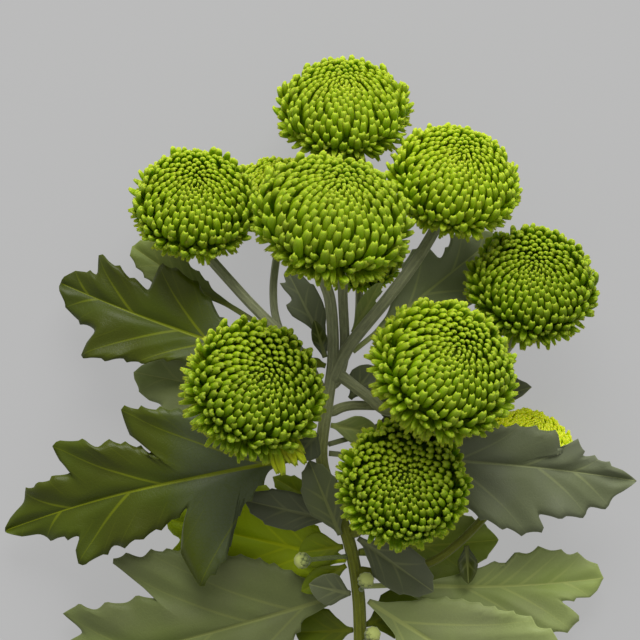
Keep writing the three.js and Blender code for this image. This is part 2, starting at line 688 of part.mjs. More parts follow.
// The whole leaf: both halves, upper and lower face, with a midrib that stands out below.
function leafGeometry(leaf) {
  const form = leafForm(leaf);
  const points = [];
  const triangles = [];
  const half = BLADE_THICKNESS / 2;
  const ribDepth = Math.min(RIB_DEPTH, 0.3 + 0.012 * form.length);
  const place = (across, along, depth) => {
    const { point, facing } = bladePoint(form, across, along);
    points.push(point.clone().addScaledVector(facing, half));
    points.push(point.clone().addScaledVector(facing, -half - depth));
    return points.length - 2;
  };
  const ribs = RIB_STATIONS.map((along) => place(0, along, ribDepth * (1 - along)));
  leaf.halves.forEach((name, hand) => {
    const sign = hand === 0 ? 1 : -1;
    const outline = HALVES[name];
    const edges = outline.map(([across, along], i) => {
      if (i === outline.length - 1) {
        return ribs[ribs.length - 1];
      }
      const distance = Math.max(across * form.length * form.width, STALK_HALF_WIDTH);
      return place(sign * distance, along, 0);
    });
    const numberOf = { rib: ribs, edge: edges };
    const add = (a, b, c) => (hand === 0 ? triangles.push(a, b, c) : triangles.push(a, c, b));
    for (const [kindA, a, kindB, b, kindC, c] of spanHalf(outline)) {
      const [p, q, r] = [numberOf[kindA][a], numberOf[kindB][b], numberOf[kindC][c]];
      if (p !== q && q !== r && r !== p) {
        add(p, q, r);
        add(p + 1, r + 1, q + 1);
      }
    }
    const rim = [ribs[0], ...edges];
    for (let i = 0; i < rim.length - 1; i++) {
      add(rim[i], rim[i + 1], rim[i + 1] + 1);
      add(rim[i], rim[i + 1] + 1, rim[i] + 1);
    }
  });
  return indexedGeometry(points, triangles);
}

function addLeaf(group, name, leaf) {
  const geometry = flatShaded(leafGeometry(leaf));
  addMesh(group, "leaf_" + name, geometry, leaf.colour, 0.5);
}

// Buds

function addBud(group, name, bud) {
  const tip = vector(bud.tip);
  const start = startOf(bud.on, bud.foot, tip, 1.1);
  const axis = tip.clone().sub(start);
  const length = axis.length();
  const profile = [
    [0, 0],
    [0.8, 0],
    [0.7, length - BUD_RADIUS * 1.9],
    [BUD_RADIUS * 0.85, length - BUD_RADIUS * 1.5],
    [BUD_RADIUS, length - BUD_RADIUS * 0.8],
    [BUD_RADIUS * 0.6, length - BUD_RADIUS * 0.12],
    [0, length],
  ].map(([x, y]) => new THREE.Vector2(x, y));
  const geometry = new THREE.LatheGeometry(profile, 8);
  geometry.rotateX(Math.PI / 2);
  const mesh = addMesh(group, "bud_" + name, geometryOf(solidOf(geometry)), GREEN.bud, 0.6);
  mesh.position.copy(start);
  mesh.quaternion.setFromUnitVectors(UP, axis.normalize());
}

function buildSpray() {
  const group = new THREE.Group();
  group.name = "pompon_spray";
  Object.entries(HEADS).forEach(([name, head], order) => {
    addHead(group, name, head, order);
    addCalyx(group, name, head);
  });
  addStem(group);
  Object.entries(LEAVES).forEach(([name, leaf]) => addLeaf(group, name, leaf));
  Object.entries(BUDS).forEach(([name, bud]) => addBud(group, name, bud));
  group.position.set(-CENTRE_X, -CENTRE_Y, 0);
  return group;
}

export default buildSpray();
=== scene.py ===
"""A cut spray of green pompon chrysanthemums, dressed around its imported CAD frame.

Eleven heads of incurved petals, their calyxes, one ridged stem, lobed and veined leaves and
three buds, lying on a pale floor and seen from above.
"""

import json
import math

import bpy
import numpy as np
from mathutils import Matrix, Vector

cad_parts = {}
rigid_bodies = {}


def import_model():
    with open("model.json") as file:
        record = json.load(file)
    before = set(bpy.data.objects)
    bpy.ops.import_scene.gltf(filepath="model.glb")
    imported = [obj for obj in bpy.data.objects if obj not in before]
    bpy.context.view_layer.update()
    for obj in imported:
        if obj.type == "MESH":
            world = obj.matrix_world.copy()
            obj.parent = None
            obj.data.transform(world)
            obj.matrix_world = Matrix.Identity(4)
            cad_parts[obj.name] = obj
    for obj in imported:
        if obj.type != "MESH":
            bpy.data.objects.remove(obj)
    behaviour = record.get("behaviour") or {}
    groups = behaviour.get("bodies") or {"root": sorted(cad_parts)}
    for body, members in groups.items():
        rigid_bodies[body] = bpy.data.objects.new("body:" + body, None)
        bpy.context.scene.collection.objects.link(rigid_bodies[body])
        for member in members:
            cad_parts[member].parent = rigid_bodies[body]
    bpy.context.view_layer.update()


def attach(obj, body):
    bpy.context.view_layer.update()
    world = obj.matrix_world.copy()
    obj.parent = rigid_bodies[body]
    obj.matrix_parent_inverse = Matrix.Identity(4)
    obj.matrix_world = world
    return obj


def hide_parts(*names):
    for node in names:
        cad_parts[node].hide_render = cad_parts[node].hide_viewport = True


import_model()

bl_info = {
    "name": "Pompon chrysanthemum spray",
    "version": (1, 0, 0),
    "blender": (4, 5, 0),
    "location": "View3D > Sidebar > Spray",
    "description": "Petals, leaves, stem and stage of a cut spray of green pompon chrysanthemums",
    "category": "Object",
}

MM = 0.001
SHIFT = np.array([0.4, 97.2, 0.0])  # from the layout of the spray to the frame, in mm
UP = np.array([0.0, 0.0, 1.0])
GOLDEN_TURN = math.pi * (3 - math.sqrt(5))
FLOOR_GAP = 0.02  # least height of a piece above the floor, mm
HEAD_SEED = 411
BUD_SEED = 77

# Form of the heads, as shares of a head's radius
HEAD_TOP = 0.56
HEAD_BASE = 0.66
HEAD_FLAT = 0.38
HEAD_REACH = 123.0  # degrees from the crown to the last petals
CORE_SHARE = 0.74  # size of the middle that the petals stand on; it is painted dark, as painted shade deep between the petals
CORE_FLAT = 0.94  # how far down it reaches, times the head's flat underside

# The heads: middle in mm, radius in mm, tilt of the crown in degrees and which way it tilts, how
# yellow and how bright it is, and the slot of its finish. The brightness is partly painted light
# and shade: heads lower down the spray are painted darker, as if the light fell off towards them,
# and back_right, low in the shade under the leaves, is painted far brighter
HEADS = {
    "top": ((7.6, 66.3, 27), 21.3, 45, (0, 1), 0.10, 0.98, "head_green"),
    "left": ((-39.2, 36.4, 34), 20.3, 33, (3, 25), 0.08, 1.0, "head_green"),
    "centre": ((3.8, 31, 60), 25, 46, (8, 28), 0.05, 0.89, "head_green"),
    "upper_right": ((41.9, 43.4, 38), 21, 40, (8, 25), 0.12, 1.06, "head_green"),
    "right": ((66.4, 10.6, 32), 21, 31, (1, 15), 0.02, 0.84, "head_green"),
    "lower_left": ((-20.5, -21.6, 56), 22.9, 27, (9, 11), 0.0, 0.86, "head_green"),
    "lower_right": ((37.8, -15.5, 58), 23.7, 33, (11, 16), 0.02, 0.95, "head_green"),
    "bottom": ((25.6, -50.9, 50), 20.8, 14, (-1, 8), 0.0, 0.93, "head_green"),
    "back_left": ((-13, 39.4, 13.1), 16.6, 50, (0, 1), 0.15, 1.1, "head_green"),
    "back_right": ((67.3, -40.2, 12.7), 15, 55, (8, 22), 0.8, 2.2, "head_yellow"),
    "back_centre": ((12.8, 20.4, 13.4), 14.5, 45, (0, 1), 0.15, 1.0, "head_green"),
}

# How the petals change from the crown outwards, read between these angles from the crown
PETAL_ANGLE = (0, 8, 20, 35, 50, 65, 80, 95, 110, 123)
PETAL_SPACING = (0.054, 0.070, 0.094, 0.120, 0.137, 0.147, 0.149, 0.142, 0.132, 0.126)
PETAL_WIDTH = (1.35, 1.22, 1.02, 0.94, 0.90, 0.87, 0.83, 0.76, 0.74, 0.76)  # share of the spacing
PETAL_LEAN = (8, 36, 58, 64, 60, 52, 42, 32, 24, 22)
PETAL_BEND = (8, 26, 50, 62, 58, 54, 48, 38, 26, 14)
PETAL_REACH = (0.28, 0.30, 0.34, 0.40, 0.44, 0.46, 0.48, 0.54, 0.62, 0.68)

# How far the petals of a head stand open on its side towards the lower left
OPEN_SIDE = {"lower_left": 0.75, "lower_right": 0.6, "bottom": 0.55, "right": 0.55}
OPEN_TOWARDS = math.radians(225)

# The open petals of the other heads
LEAST_OPEN = 0.1

# Painted light: petals on a head's upper side, towards the key light, are painted yellower and
# paler, and those on its lower side darker
PAINTED_LIGHT_YELLOW = 0.26
PAINTED_LIGHT_BRIGHT = 0.13

# One petal: place along it, width and depth of each ring, as shares of its length and its size
PETAL_SIDES = 8
PETAL_RINGS = ((0.0, 0.45, 0.55), (0.30, 0.74, 0.80), (0.53, 0.95, 0.97), (0.70, 1.0, 1.0),
               (0.84, 0.93, 0.92), (0.935, 0.74, 0.74), (0.985, 0.50, 0.52))

# The head that has a tuft of long loose petals, how many, and the way they hang in degrees
TUFT_HEAD = "lower_left"
TUFT_PETALS = 8
TUFT_SIDES = (-76, -52)

# Form of the calyxes and buds, mm, and the calyx's width as a share of the head's
CALYX_HEIGHT = 5.0
CALYX_SHARE = 0.36
CALYX_SIDES = 28
SEAT_GAP = 0.3
NECK_RADIUS = 1.9
BUD_RADIUS = 2.9
BUD_SIDES = 20
BUD_SCALES = 26

# Rows of calyx scales: how far below the head and how far out they stand, as shares of the
# calyx's height and width, how many there are, and their length in mm
SCALE_ROWS = ((0.74, 0.50, 11, 3.6), (0.52, 0.66, 13, 3.9), (0.26, 0.84, 16, 3.8))

# The stems: points in mm, radius at the foot and at the top in mm, the head carried, and how many
# sides and rings the tube has
STEMS = {
    "main": (
        ((5, -278, 2.1), (9, -220, 8.5), (12, -160, 15.5), (12.7, -101.6, 22), (12, -85.6, 24),
         (9.5, -71.2, 26), (4.7, -56.8, 28), (0.6, -44.1, 30), (2.5, -25.2, 31),
         (4.1, -12.6, 32), (3.1, 6.3, 36)),
        (2.4, 1.7), "centre", 40, 150),
    "top": (
        ((4, -22, 30), (7.4, -12.6, 30), (7.2, 9.5, 29.5), (7.4, 26, 26), (7.5, 40, 17)),
        (1.5, 1.5), "top", 28, 60),
    "left": (
        ((2.2, -26, 30.5), (-6.3, -10.1, 30), (-17.4, 0.6, 27), (-25.4, 8.9, 23.5)),
        (1.6, 1.6), "left", 28, 50),
    "upper_right": (
        ((3.4, -20, 31.5), (7.9, -10.1, 32.5), (21.4, 6.9, 32), (30.5, 19, 29)),
        (1.9, 1.7), "upper_right", 28, 54),
    "right": (
        ((2, -30, 30), (7.9, -27.3, 28.5), (28.5, -26.9, 25), (47.7, -20.7, 20.5),
         (60.5, -8, 17)),
        (1.4, 1.4), "right", 28, 60),
    "lower_left": (
        ((0.8, -40, 30), (-6.3, -35.5, 30.5), (-16, -33, 33)),
        (1.7, 1.6), "lower_left", 28, 30),
    "lower_right": (
        ((3.4, -15, 31.5), (8.4, -19, 31), (15.6, -24.5, 31.5), (21, -28.5, 34)),
        (1.7, 1.6), "lower_right", 28, 36),
    "bottom": (
        ((8.6, -68.5, 26.5), (14.5, -64.5, 27.5), (21.5, -58, 31)),
        (1.7, 1.6), "bottom", 28, 30),
    "back_left": (
        ((2.4, -24, 30.5), (-6, -14, 24), (-13.3, -2, 15), (-15, 10, 7)),
        (1.3, 1.2), "back_left", 24, 44),
    "back_right": (
        ((10.7, -79, 25), (17.4, -80, 24.5), (35, -77.1, 20.5), (44.1, -71.3, 16),
         (54, -62, 8)),
        (1.4, 1.3), "back_right", 24, 56),
    "back_centre": (
        ((3, -20, 30.5), (9, -10, 22), (12, -2, 13)),
        (1.3, 1.2), "back_centre", 24, 36),
}

# Ridges round a stem, and how a stem widens at its foot and its top: share of its radius, and
# over how many mm
MAIN_RIDGES = 9
SIDE_RIDGES = 7
FOOT_FLARE = (0.35, 4)
TOP_FLARE = (0.2, 2.5)

# Points on a stem's line among which the nearest to a leaf's foot is looked for
LINE_SAMPLES = 201

# Half outlines of a leaf: distance from the midrib, distance from the foot, and the place along
# the midrib that the edge is spanned from, in shares of the leaf's length
HALVES = {
    "wide": (
        (0.008, 0, 0), (0.022, 0.08, 0.08), (0.045, 0.17, 0.15), (0.12, 0.24, 0.18),
        (0.21, 0.33, 0.22), (0.246, 0.42, 0.27), (0.27, 0.528, 0.31), (0.19, 0.523, 0.33),
        (0.129, 0.472, 0.35), (0.097, 0.445, 0.38), (0.149, 0.513, 0.42), (0.189, 0.6, 0.47),
        (0.176, 0.62, 0.5), (0.212, 0.68, 0.55), (0.215, 0.765, 0.6), (0.167, 0.757, 0.64),
        (0.12, 0.733, 0.68), (0.118, 0.8, 0.74), (0.098, 0.9, 0.84), (0.068, 0.912, 0.88),
        (0.034, 0.968, 0.94), (0, 1, 1)),
    "hanging": (
        (0.008, 0, 0), (0.008, 0.1, 0.1), (0.014, 0.14, 0.13), (0.123, 0.277, 0.18),
        (0.25, 0.346, 0.21), (0.3, 0.425, 0.24), (0.19, 0.462, 0.26), (0.117, 0.435, 0.28),
        (0.06, 0.4, 0.31), (0.104, 0.517, 0.42), (0.128, 0.637, 0.5), (0.117, 0.655, 0.53),
        (0.139, 0.7, 0.57), (0.149, 0.776, 0.62), (0.108, 0.775, 0.64), (0.068, 0.748, 0.68),
        (0.06, 0.8, 0.74), (0.05, 0.868, 0.8), (0.033, 0.885, 0.85), (0.03, 0.943, 0.92),
        (0, 1, 1)),
    "cut": (
        (0.008, 0, 0), (0.008, 0.15, 0.15), (0.03, 0.24, 0.2), (0.087, 0.36, 0.27),
        (0.144, 0.44, 0.32), (0.182, 0.5, 0.36), (0.197, 0.59, 0.42), (0.19, 0.64, 0.46),
        (0.083, 0.65, 0.5), (0.108, 0.734, 0.56), (0.134, 0.8, 0.62), (0.147, 0.885, 0.68),
        (0.1, 0.87, 0.72), (0.074, 0.86, 0.76), (0.072, 0.91, 0.82), (0.062, 0.958, 0.88),
        (0.028, 0.99, 0.95), (0, 1, 1)),
    "broad": (
        (0.008, 0, 0), (0.008, 0.15, 0.15), (0.04, 0.25, 0.2), (0.09, 0.38, 0.28),
        (0.13, 0.5, 0.36), (0.174, 0.59, 0.42), (0.18, 0.65, 0.46), (0.211, 0.724, 0.52),
        (0.226, 0.805, 0.58), (0.174, 0.803, 0.62), (0.121, 0.781, 0.68), (0.112, 0.82, 0.73),
        (0.107, 0.872, 0.78), (0.079, 0.94, 0.84), (0.062, 0.946, 0.88), (0.03, 0.982, 0.95),
        (0, 1, 1)),
    "forward": (
        (0.008, 0, 0), (0.03, 0.06, 0.06), (0.09, 0.14, 0.12), (0.18, 0.27, 0.18),
        (0.25, 0.45, 0.27), (0.29, 0.6, 0.36), (0.275, 0.622, 0.38), (0.297, 0.69, 0.42),
        (0.28, 0.73, 0.45), (0.2, 0.665, 0.48), (0.136, 0.615, 0.5), (0.152, 0.7, 0.56),
        (0.143, 0.72, 0.58), (0.157, 0.8, 0.64), (0.146, 0.82, 0.67), (0.172, 0.9, 0.71),
        (0.16, 0.945, 0.74), (0.115, 0.915, 0.77), (0.08, 0.895, 0.8), (0.07, 0.945, 0.86),
        (0.045, 0.98, 0.92), (0, 1, 1)),
    "shoulder": (
        (0.008, 0, 0), (0.008, 0.12, 0.12), (0.03, 0.2, 0.17), (0.09, 0.33, 0.25),
        (0.132, 0.459, 0.32), (0.166, 0.515, 0.36), (0.187, 0.584, 0.4), (0.196, 0.65, 0.45),
        (0.175, 0.703, 0.5), (0.147, 0.688, 0.56), (0.131, 0.68, 0.6), (0.134, 0.77, 0.66),
        (0.12, 0.838, 0.72), (0.095, 0.842, 0.76), (0.087, 0.91, 0.82), (0.058, 0.918, 0.86),
        (0.04, 0.95, 0.92), (0, 1, 1)),
    "ridge": (
        (0.008, 0, 0), (0.008, 0.12, 0.12), (0.03, 0.2, 0.17), (0.09, 0.36, 0.27),
        (0.13, 0.5, 0.36), (0.141, 0.6, 0.42), (0.131, 0.72, 0.5), (0.06, 0.74, 0.56),
        (0.1, 0.76, 0.6), (0.12, 0.79, 0.64), (0.062, 0.81, 0.7), (0.058, 0.863, 0.78),
        (0.043, 0.905, 0.84), (0.033, 0.945, 0.9), (0, 1, 1)),
    "rounded": (
        (0.008, 0, 0), (0.008, 0.26, 0.25), (0.03, 0.38, 0.33), (0.078, 0.56, 0.42),
        (0.074, 0.6, 0.45), (0.115, 0.65, 0.5), (0.105, 0.68, 0.53), (0.133, 0.744, 0.58),
        (0.118, 0.775, 0.62), (0.126, 0.82, 0.66), (0.098, 0.845, 0.7), (0.098, 0.905, 0.76),
        (0.072, 0.93, 0.82), (0.058, 0.975, 0.88), (0.02, 0.988, 0.95), (0, 1, 1)),
    "fan": (
        (0.008, 0, 0), (0.01, 0.14, 0.14), (0.07, 0.24, 0.2), (0.16, 0.4, 0.3),
        (0.207, 0.6, 0.42), (0.236, 0.744, 0.5), (0.212, 0.775, 0.54), (0.203, 0.85, 0.58),
        (0.15, 0.89, 0.62), (0.115, 0.85, 0.66), (0.088, 0.81, 0.7), (0.076, 0.88, 0.78),
        (0.077, 0.94, 0.84), (0.05, 0.972, 0.9), (0, 1, 1)),
    "plain": (
        (0.02, 0, 0), (0.03, 0.1, 0.1), (0.12, 0.25, 0.22), (0.2, 0.42, 0.38), (0.21, 0.55, 0.5),
        (0.17, 0.74, 0.68), (0.08, 0.92, 0.86), (0, 1, 1)),
}

# Which outline points a side vein runs to
SIDE_VEINS = {
    "wide": (6, 14, 18),
    "hanging": (5, 13, 17),
    "cut": (7, 11, 15),
    "broad": (5, 8, 13),
    "forward": (5, 8, 16),
    "shoulder": (7, 12, 14),
    "ridge": (5, 9, 11),
    "rounded": (3, 5, 7, 9, 11),
    "fan": (5, 7, 12),
    "plain": (3, 4, 5),
}

# The leaves: stem it grows from, foot and tip in mm, share by which it is wider than its
# outline, roll, droop and lift in degrees, left and right half, and its finish
LEAVES = {
    "left_upper": ("left", (-3.5, -15.5, 30.5), (-83.3, 11.9, 12), 1, 0, 24, 6, "broad",
                   "cut", "dark"),
    "left_behind": ("left", (-17.4, 0.6, 27), (-60.6, 23.8, 6), 1, 0, -10, 8, "rounded",
                    "rounded", "fresh"),
    "left_mid": ("main", (2.2, -29, 31), (-60.1, -16.7, 8), 1.15, 10, 10, 5, "broad", "wide",
                 "fresh"),
    "left_large": ("main", (0.6, -42.3, 30), (-101.4, -67.7, 9), 1, 0, 26, 5, "hanging",
                   "wide", "dark"),
    "left_lower": ("main", (12, -86, 24), (-83.5, -111, 4), 1, 0, 18, 4, "wide", "forward",
                   "fresh"),
    "left_bright": ("main", (8, -76, 25), (-49.5, -64, 8), 1.05, 0, -14, 4, "forward",
                    "forward", "fresh"),
    "left_inner": ("main", (4, -64, 28), (-24.4, -57.1, 23), 1, -8, 20, 6, "plain", "plain",
                   "grey"),
    "left_slip": ("main", (3, -60, 28), (-15.3, -50, 16), 0.8, 0, 10, 8, "plain", "plain", "fresh"),
    "right_upper": ("upper_right", (9, -9, 32.5), (56.7, 26.9, 10), 1.05, 0, 20, 5, "cut",
                    "broad", "grey"),
    "right_behind": ("main", (1.2, -38.5, 30), (68.3, -21.6, 7), 0.82, 0, -12, 5, "broad",
                     "ridge", "grey"),
    "right_large": ("main", (0.7, -42.5, 30), (100.7, -51.1, 22), 1, 0, 14, 9, "ridge",
                    "shoulder", "grey"),
    "right_lower": ("main", (11.8, -84.5, 24), (91.3, -83, 8), 1, 0, -8, 4, "rounded", "fan",
                    "fresh"),
    "right_bottom": ("main", (12.2, -88.8, 23.5), (78.4, -132.8, 14), 1.1, 0, 22, 5,
                     "forward", "wide", "fresh"),
    "right_pale": ("main", (10.3, -74.5, 25.5), (57.7, -70.9, 5), 1.1, 0, -14, 5, "plain",
                   "plain", "fresh"),
    "under_bottom": ("main", (9, -69.5, 26), (36, -86, 27), 1.2, 0, 20, 8, "plain", "plain",
                     "grey"),
    "low_round": ("main", (11, -86, 24), (-3.5, -83.3, 30), 1.7, 0, 30, 6, "plain", "plain",
                  "grey"),
    "right_bract": ("back_right", (44.8, -71.3, 14), (47.2, -83.9, 21), 1.2, 0, 30, 8,
                    "plain", "plain", "dark"),
    "left_bract": ("main", (2, -35.5, 31), (-8, -43.5, 40), 1.9, 0, 30, 8, "plain", "plain",
                   "grey"),
    "left_wing": ("main", (8, -67, 26.5), (-3.5, -44, 35), 1.15, -10, 20, 8, "plain", "plain",
                  "grey"),
    "left_tuck": ("main", (8.7, -71, 26), (-7, -74, 22), 1.9, 0, 20, 6, "plain", "plain", "fresh"),
    "inner_dark": ("lower_right", (15.6, -24.5, 31.5), (28, -31, 28), 1.4, 0, 16, 6, "plain",
                   "plain", "dark"),
    "inner_pale": ("main", (1.8, -33, 30.5), (19, -36, 25), 1.3, 0, 20, 8, "plain", "plain",
                   "fresh"),
    "junction_left": ("main", (3.6, -12, 32), (-1.8, 0, 38), 0.9, 0, 30, 10, "plain", "plain",
                      "dark"),
    "junction_base": ("main", (3.4, -15, 32), (-4, -12.5, 34), 1.2, 0, 20, 8, "plain",
                      "plain", "fresh"),
    "junction_right": ("right", (10, -27.3, 28.2), (17.5, -14.5, 22), 1.7, 0, 14, 6, "plain",
                       "plain", "grey"),
    "base_left": ("main", (12.6, -99, 22.3), (-8, -100, 13), 1.8, 0, 12, 6, "plain", "plain",
                  "fresh"),
    "base_right": ("main", (12.6, -97, 22.6), (33, -91, 10), 1.7, 0, -10, 6, "plain", "plain",
                   "fresh"),
    "low_tuck": ("main", (10.6, -78, 25.2), (-6, -86, 25.8), 1.2, 0, 8, 3, "plain", "plain",
                 "fresh"),
    "right_wing": ("main", (7.5, -61, 27.2), (11.5, -41, 35), 0.9, 0, 16, 8, "plain", "plain",
                   "grey"),
    "back_upper_left": ("main", (3.4, -9.5, 32), (-10.5, 16, 20), 0.9, 0, 10, 6, "cut",
                        "plain", "grey"),
    "back_upper": ("top", (7.2, -4, 29.8), (19, 12, 27.5), 0.8, 0, 14, 6, "plain", "cut", "fresh"),
    "low_left": ("main", (12.5, -122, 19), (-66, -150, 3), 1, 0, 18, 4, "cut", "broad", "fresh"),
    "low_right": ("main", (12.4, -134, 18), (76, -168, 3), 1, 0, 18, 4, "broad", "wide", "fresh"),
    "low_small": ("main", (11.5, -170, 14), (-38, -192, 2.5), 1, 0, 14, 4, "fan", "cut", "fresh"),
}

# How bright a leaf is at its foot and at its tip, and how saturated it is, where it differs from
# the others of its kind. The brightness is partly painted light and shade: leaves that the heads
# shade are painted brighter, leaves low by the lower stem darker, and some lighter or darker from
# foot to tip as the light falls on them
LEAF_TONES = {
    "left_upper": (1.95, 0.62, 1.4),
    "left_large": (1.05, 1.0, 1.5),
    "left_lower": (0.6, 0.64, 1.0),
    "left_bright": (1.7, 1.5, 1.5),
    "left_slip": (0.85, 0.85, 1.3),
    "left_tuck": (0.6, 0.85, 1.5),
    "low_tuck": (0.5, 0.6, 1.4),
    "base_left": (0.35, 0.5, 1.45),
    "base_right": (0.4, 0.55, 1.4),
    "right_wing": (0.75, 0.75, 1.1),
    "left_wing": (0.85, 0.85, 1.2),
    "left_behind": (0.65, 0.65, 1.1),
    "left_mid": (0.75, 0.75, 0.95),
    "left_inner": (0.75, 0.75, 1.0),
    "left_bract": (0.7, 0.7, 1.0),
    "junction_base": (0.6, 0.6, 1.3),
    "right_upper": (2.3, 1.9, 1.15),
    "right_large": (1.1, 1.1, 1.0),
    "right_pale": (1.0, 1.0, 1.2),
    "right_lower": (1.25, 1.25, 0.95),
    "right_bottom": (1.25, 1.25, 0.95),
}

# Leaves longer than this, in mm, have more rows of points from the midrib to the edge
LONG_LEAF = 45
LONG_ROWS = 13
SHORT_ROWS = 9

# Half the width of the foot of a leaf and of a bud's stalk, mm
LEAF_FOOT = 1.2
BUD_FOOT = 1.1

# The groove above a midrib, the midrib below and the ridges of the side veins below: depth in mm
# where it is the same for all leaves, and half their width in mm
GROOVE_DEPTH = 0.35
GROOVE_WIDTH = 0.9
RIB_WIDTH = 0.95
RIDGE_DEPTH = 0.2
RIDGE_WIDTH = 1.3

TOOTH = (0.0, 0.05, 0.2, 0.5, 1.0)  # outline of one small tooth, in steps towards the tip
MOST_VEINS = 5  # side veins that half a leaf can have
NO_VEIN = 99.0  # distance that stands for a vein that isn't there, mm
UNDER_SHIFT = np.array([20.0, 0])  # from the upper side's pattern to the underside's

# How far a midrib swings towards the leaf's left, mm
LEAF_SWAY = {"left_large": -2.6, "left_lower": 1.6, "right_large": 1.6, "right_lower": -1.6,
             "left_upper": 1.0, "right_bottom": 1.5, "left_behind": 0.8}

# The buds: stem it grows from, foot and tip in mm
BUDS = {
    "left": ("main", (8.5, -75, 25.5), (-8.5, -76, 31)),
    "middle": ("main", (11.8, -85, 24), (15.2, -80.3, 32.5)),
    "low": ("main", (12.7, -101.6, 22), (18, -97.9, 30)),
}

# Between these places along the spray, in m, the stem turns darker and greener
STEM_DARKENS = (0.03, 0.085)

# Tint of the fine down that catches the light, and the greens of calyxes and buds
DOWN_TINT = (0.85, 0.88, 0.78)
LEAF_DOWN_TINT = (0.8, 0.85, 0.75)
CALYX_GREENS = ((0.050, 0.075, 0.020), (0.105, 0.135, 0.042))
CALYX_TIP = (0.22, 0.20, 0.10)
BUD_GREENS = ((0.095, 0.125, 0.035), (0.16, 0.20, 0.06))

# The stage, m: size of the floor, the key light's place, aim and width, and the camera's sensor
# in mm
FLOOR_SIZE = 6
FLOOR_DROP = 0.0002
KEY_PLACE = (0.05, 1.30, 0.85)
KEY_TARGET = (0, 0.1, 0.03)
KEY_WIDTH = 1.3
SENSOR = 36
FARTHEST = 20


# Settings


def colour_setting(name, description, default):
    """A colour in the panel."""
    return bpy.props.FloatVectorProperty(
        name=name, description=description, subtype="COLOR", default=default, min=0, max=1)


def number_setting(name, description, default, low, high, unit="NONE"):
    """A number in the panel, with its least and greatest value."""
    return bpy.props.FloatProperty(
        name=name, description=description, default=default, min=low, max=high, unit=unit)


class SprayHeadSettings(bpy.types.PropertyGroup):
    """Sizes and colours of the petals."""

    spacing: number_setting("Petal spacing", "How far apart the petals stand, times the real one",
        1.0, 0.6, 2.0)
    plumpness: number_setting("Petal width", "Width of a petal, times the space it has",
        1.0, 0.5, 1.5)
    body: colour_setting("Petal", "Colour of a petal's back",
        (0.160, 0.270, 0.0012))
    tip: colour_setting("Petal tip", "Colour of the small teeth at a petal's tip",
        (0.36, 0.43, 0.040))
    # Painted light: the foot colour is lighter than a petal's back, which lifts the shade deep
    # between the petals; it is greener too
    deep: colour_setting("Petal foot", "Colour deep between the petals",
        (0.190, 0.340, 0.0010))
    yellow: colour_setting("Young petal", "Colour of the young, yellow head",
        (0.47, 0.53, 0.010))


class SprayLeafSettings(bpy.types.PropertyGroup):
    """Sizes and colours of the leaves."""

    thickness: number_setting("Blade thickness", "Thickness of a leaf's blade",
        0.00045, 0.0002, 0.001, unit="LENGTH")
    quilting: number_setting("Quilting", "How far the blade swells between the veins",
        0.0013, 0, 0.003, unit="LENGTH")
    dark: colour_setting("Dark leaf", "Colour of the dark, glossy leaves",
        (0.046, 0.058, 0.0045))
    grey: colour_setting("Grey leaf", "Colour of the matt grey-green leaves",
        (0.100, 0.115, 0.055))
    fresh: colour_setting("Fresh leaf", "Colour of the pale green leaves",
        (0.205, 0.248, 0.075))
    vein: colour_setting("Vein", "Colour of the midribs and side veins",
        (0.26, 0.29, 0.075))


class SprayStemSettings(bpy.types.PropertyGroup):
    """Sizes and colours of the stem, calyxes and buds."""

    ridge: number_setting("Ridge height", "Height of the ridges, as a share of the radius",
        0.07, 0, 0.3)
    colour: colour_setting("Stem", "Colour of the stems",
        (0.26, 0.275, 0.145))
    down: colour_setting("Down", "Colour of the fine down on stems and calyxes",
        (0.55, 0.58, 0.48))
    bud: colour_setting("Bud", "Colour of the closed buds",
        (0.50, 0.56, 0.16))


class SprayStageSettings(bpy.types.PropertyGroup):
    """Floor, lights and camera."""

    floor: colour_setting("Floor", "Colour of the floor",
        (0.08, 0.08, 0.08))
    floor_glow: number_setting("Floor glow", "Strength of the light that the floor itself gives",
        0.393, 0, 5)
    key_power: number_setting("Key light", "Power of the large light above the heads, in watts",
        31.0, 0, 500)
    surround: number_setting("Surround", "Strength of the even light from all sides",
        0.47, 0, 5)
    camera_height: number_setting("Camera height", "Height of the camera above the floor",
        1.14, 0.3, 5, unit="LENGTH")
    lens: number_setting("Lens", "Focal length of the camera in millimetres",
        198.0, 20, 400)


# Small geometry helpers


def unit(vector):
    vector = np.asarray(vector, float)
    return vector / np.linalg.norm(vector)


def turn_from_up(axis):
    """The shortest turn that takes straight up to an axis, as a matrix."""
    x, y, z = axis
    cross = np.array([[0, 0, x], [0, 0, y], [-x, -y, 0]], float)
    return np.eye(3) + cross + cross @ cross / (1 + z)


def smooth_step(low, high, value):
    share = np.clip((np.asarray(value, float) - low) / (high - low), 0, 1)
    return share * share * (3 - 2 * share)


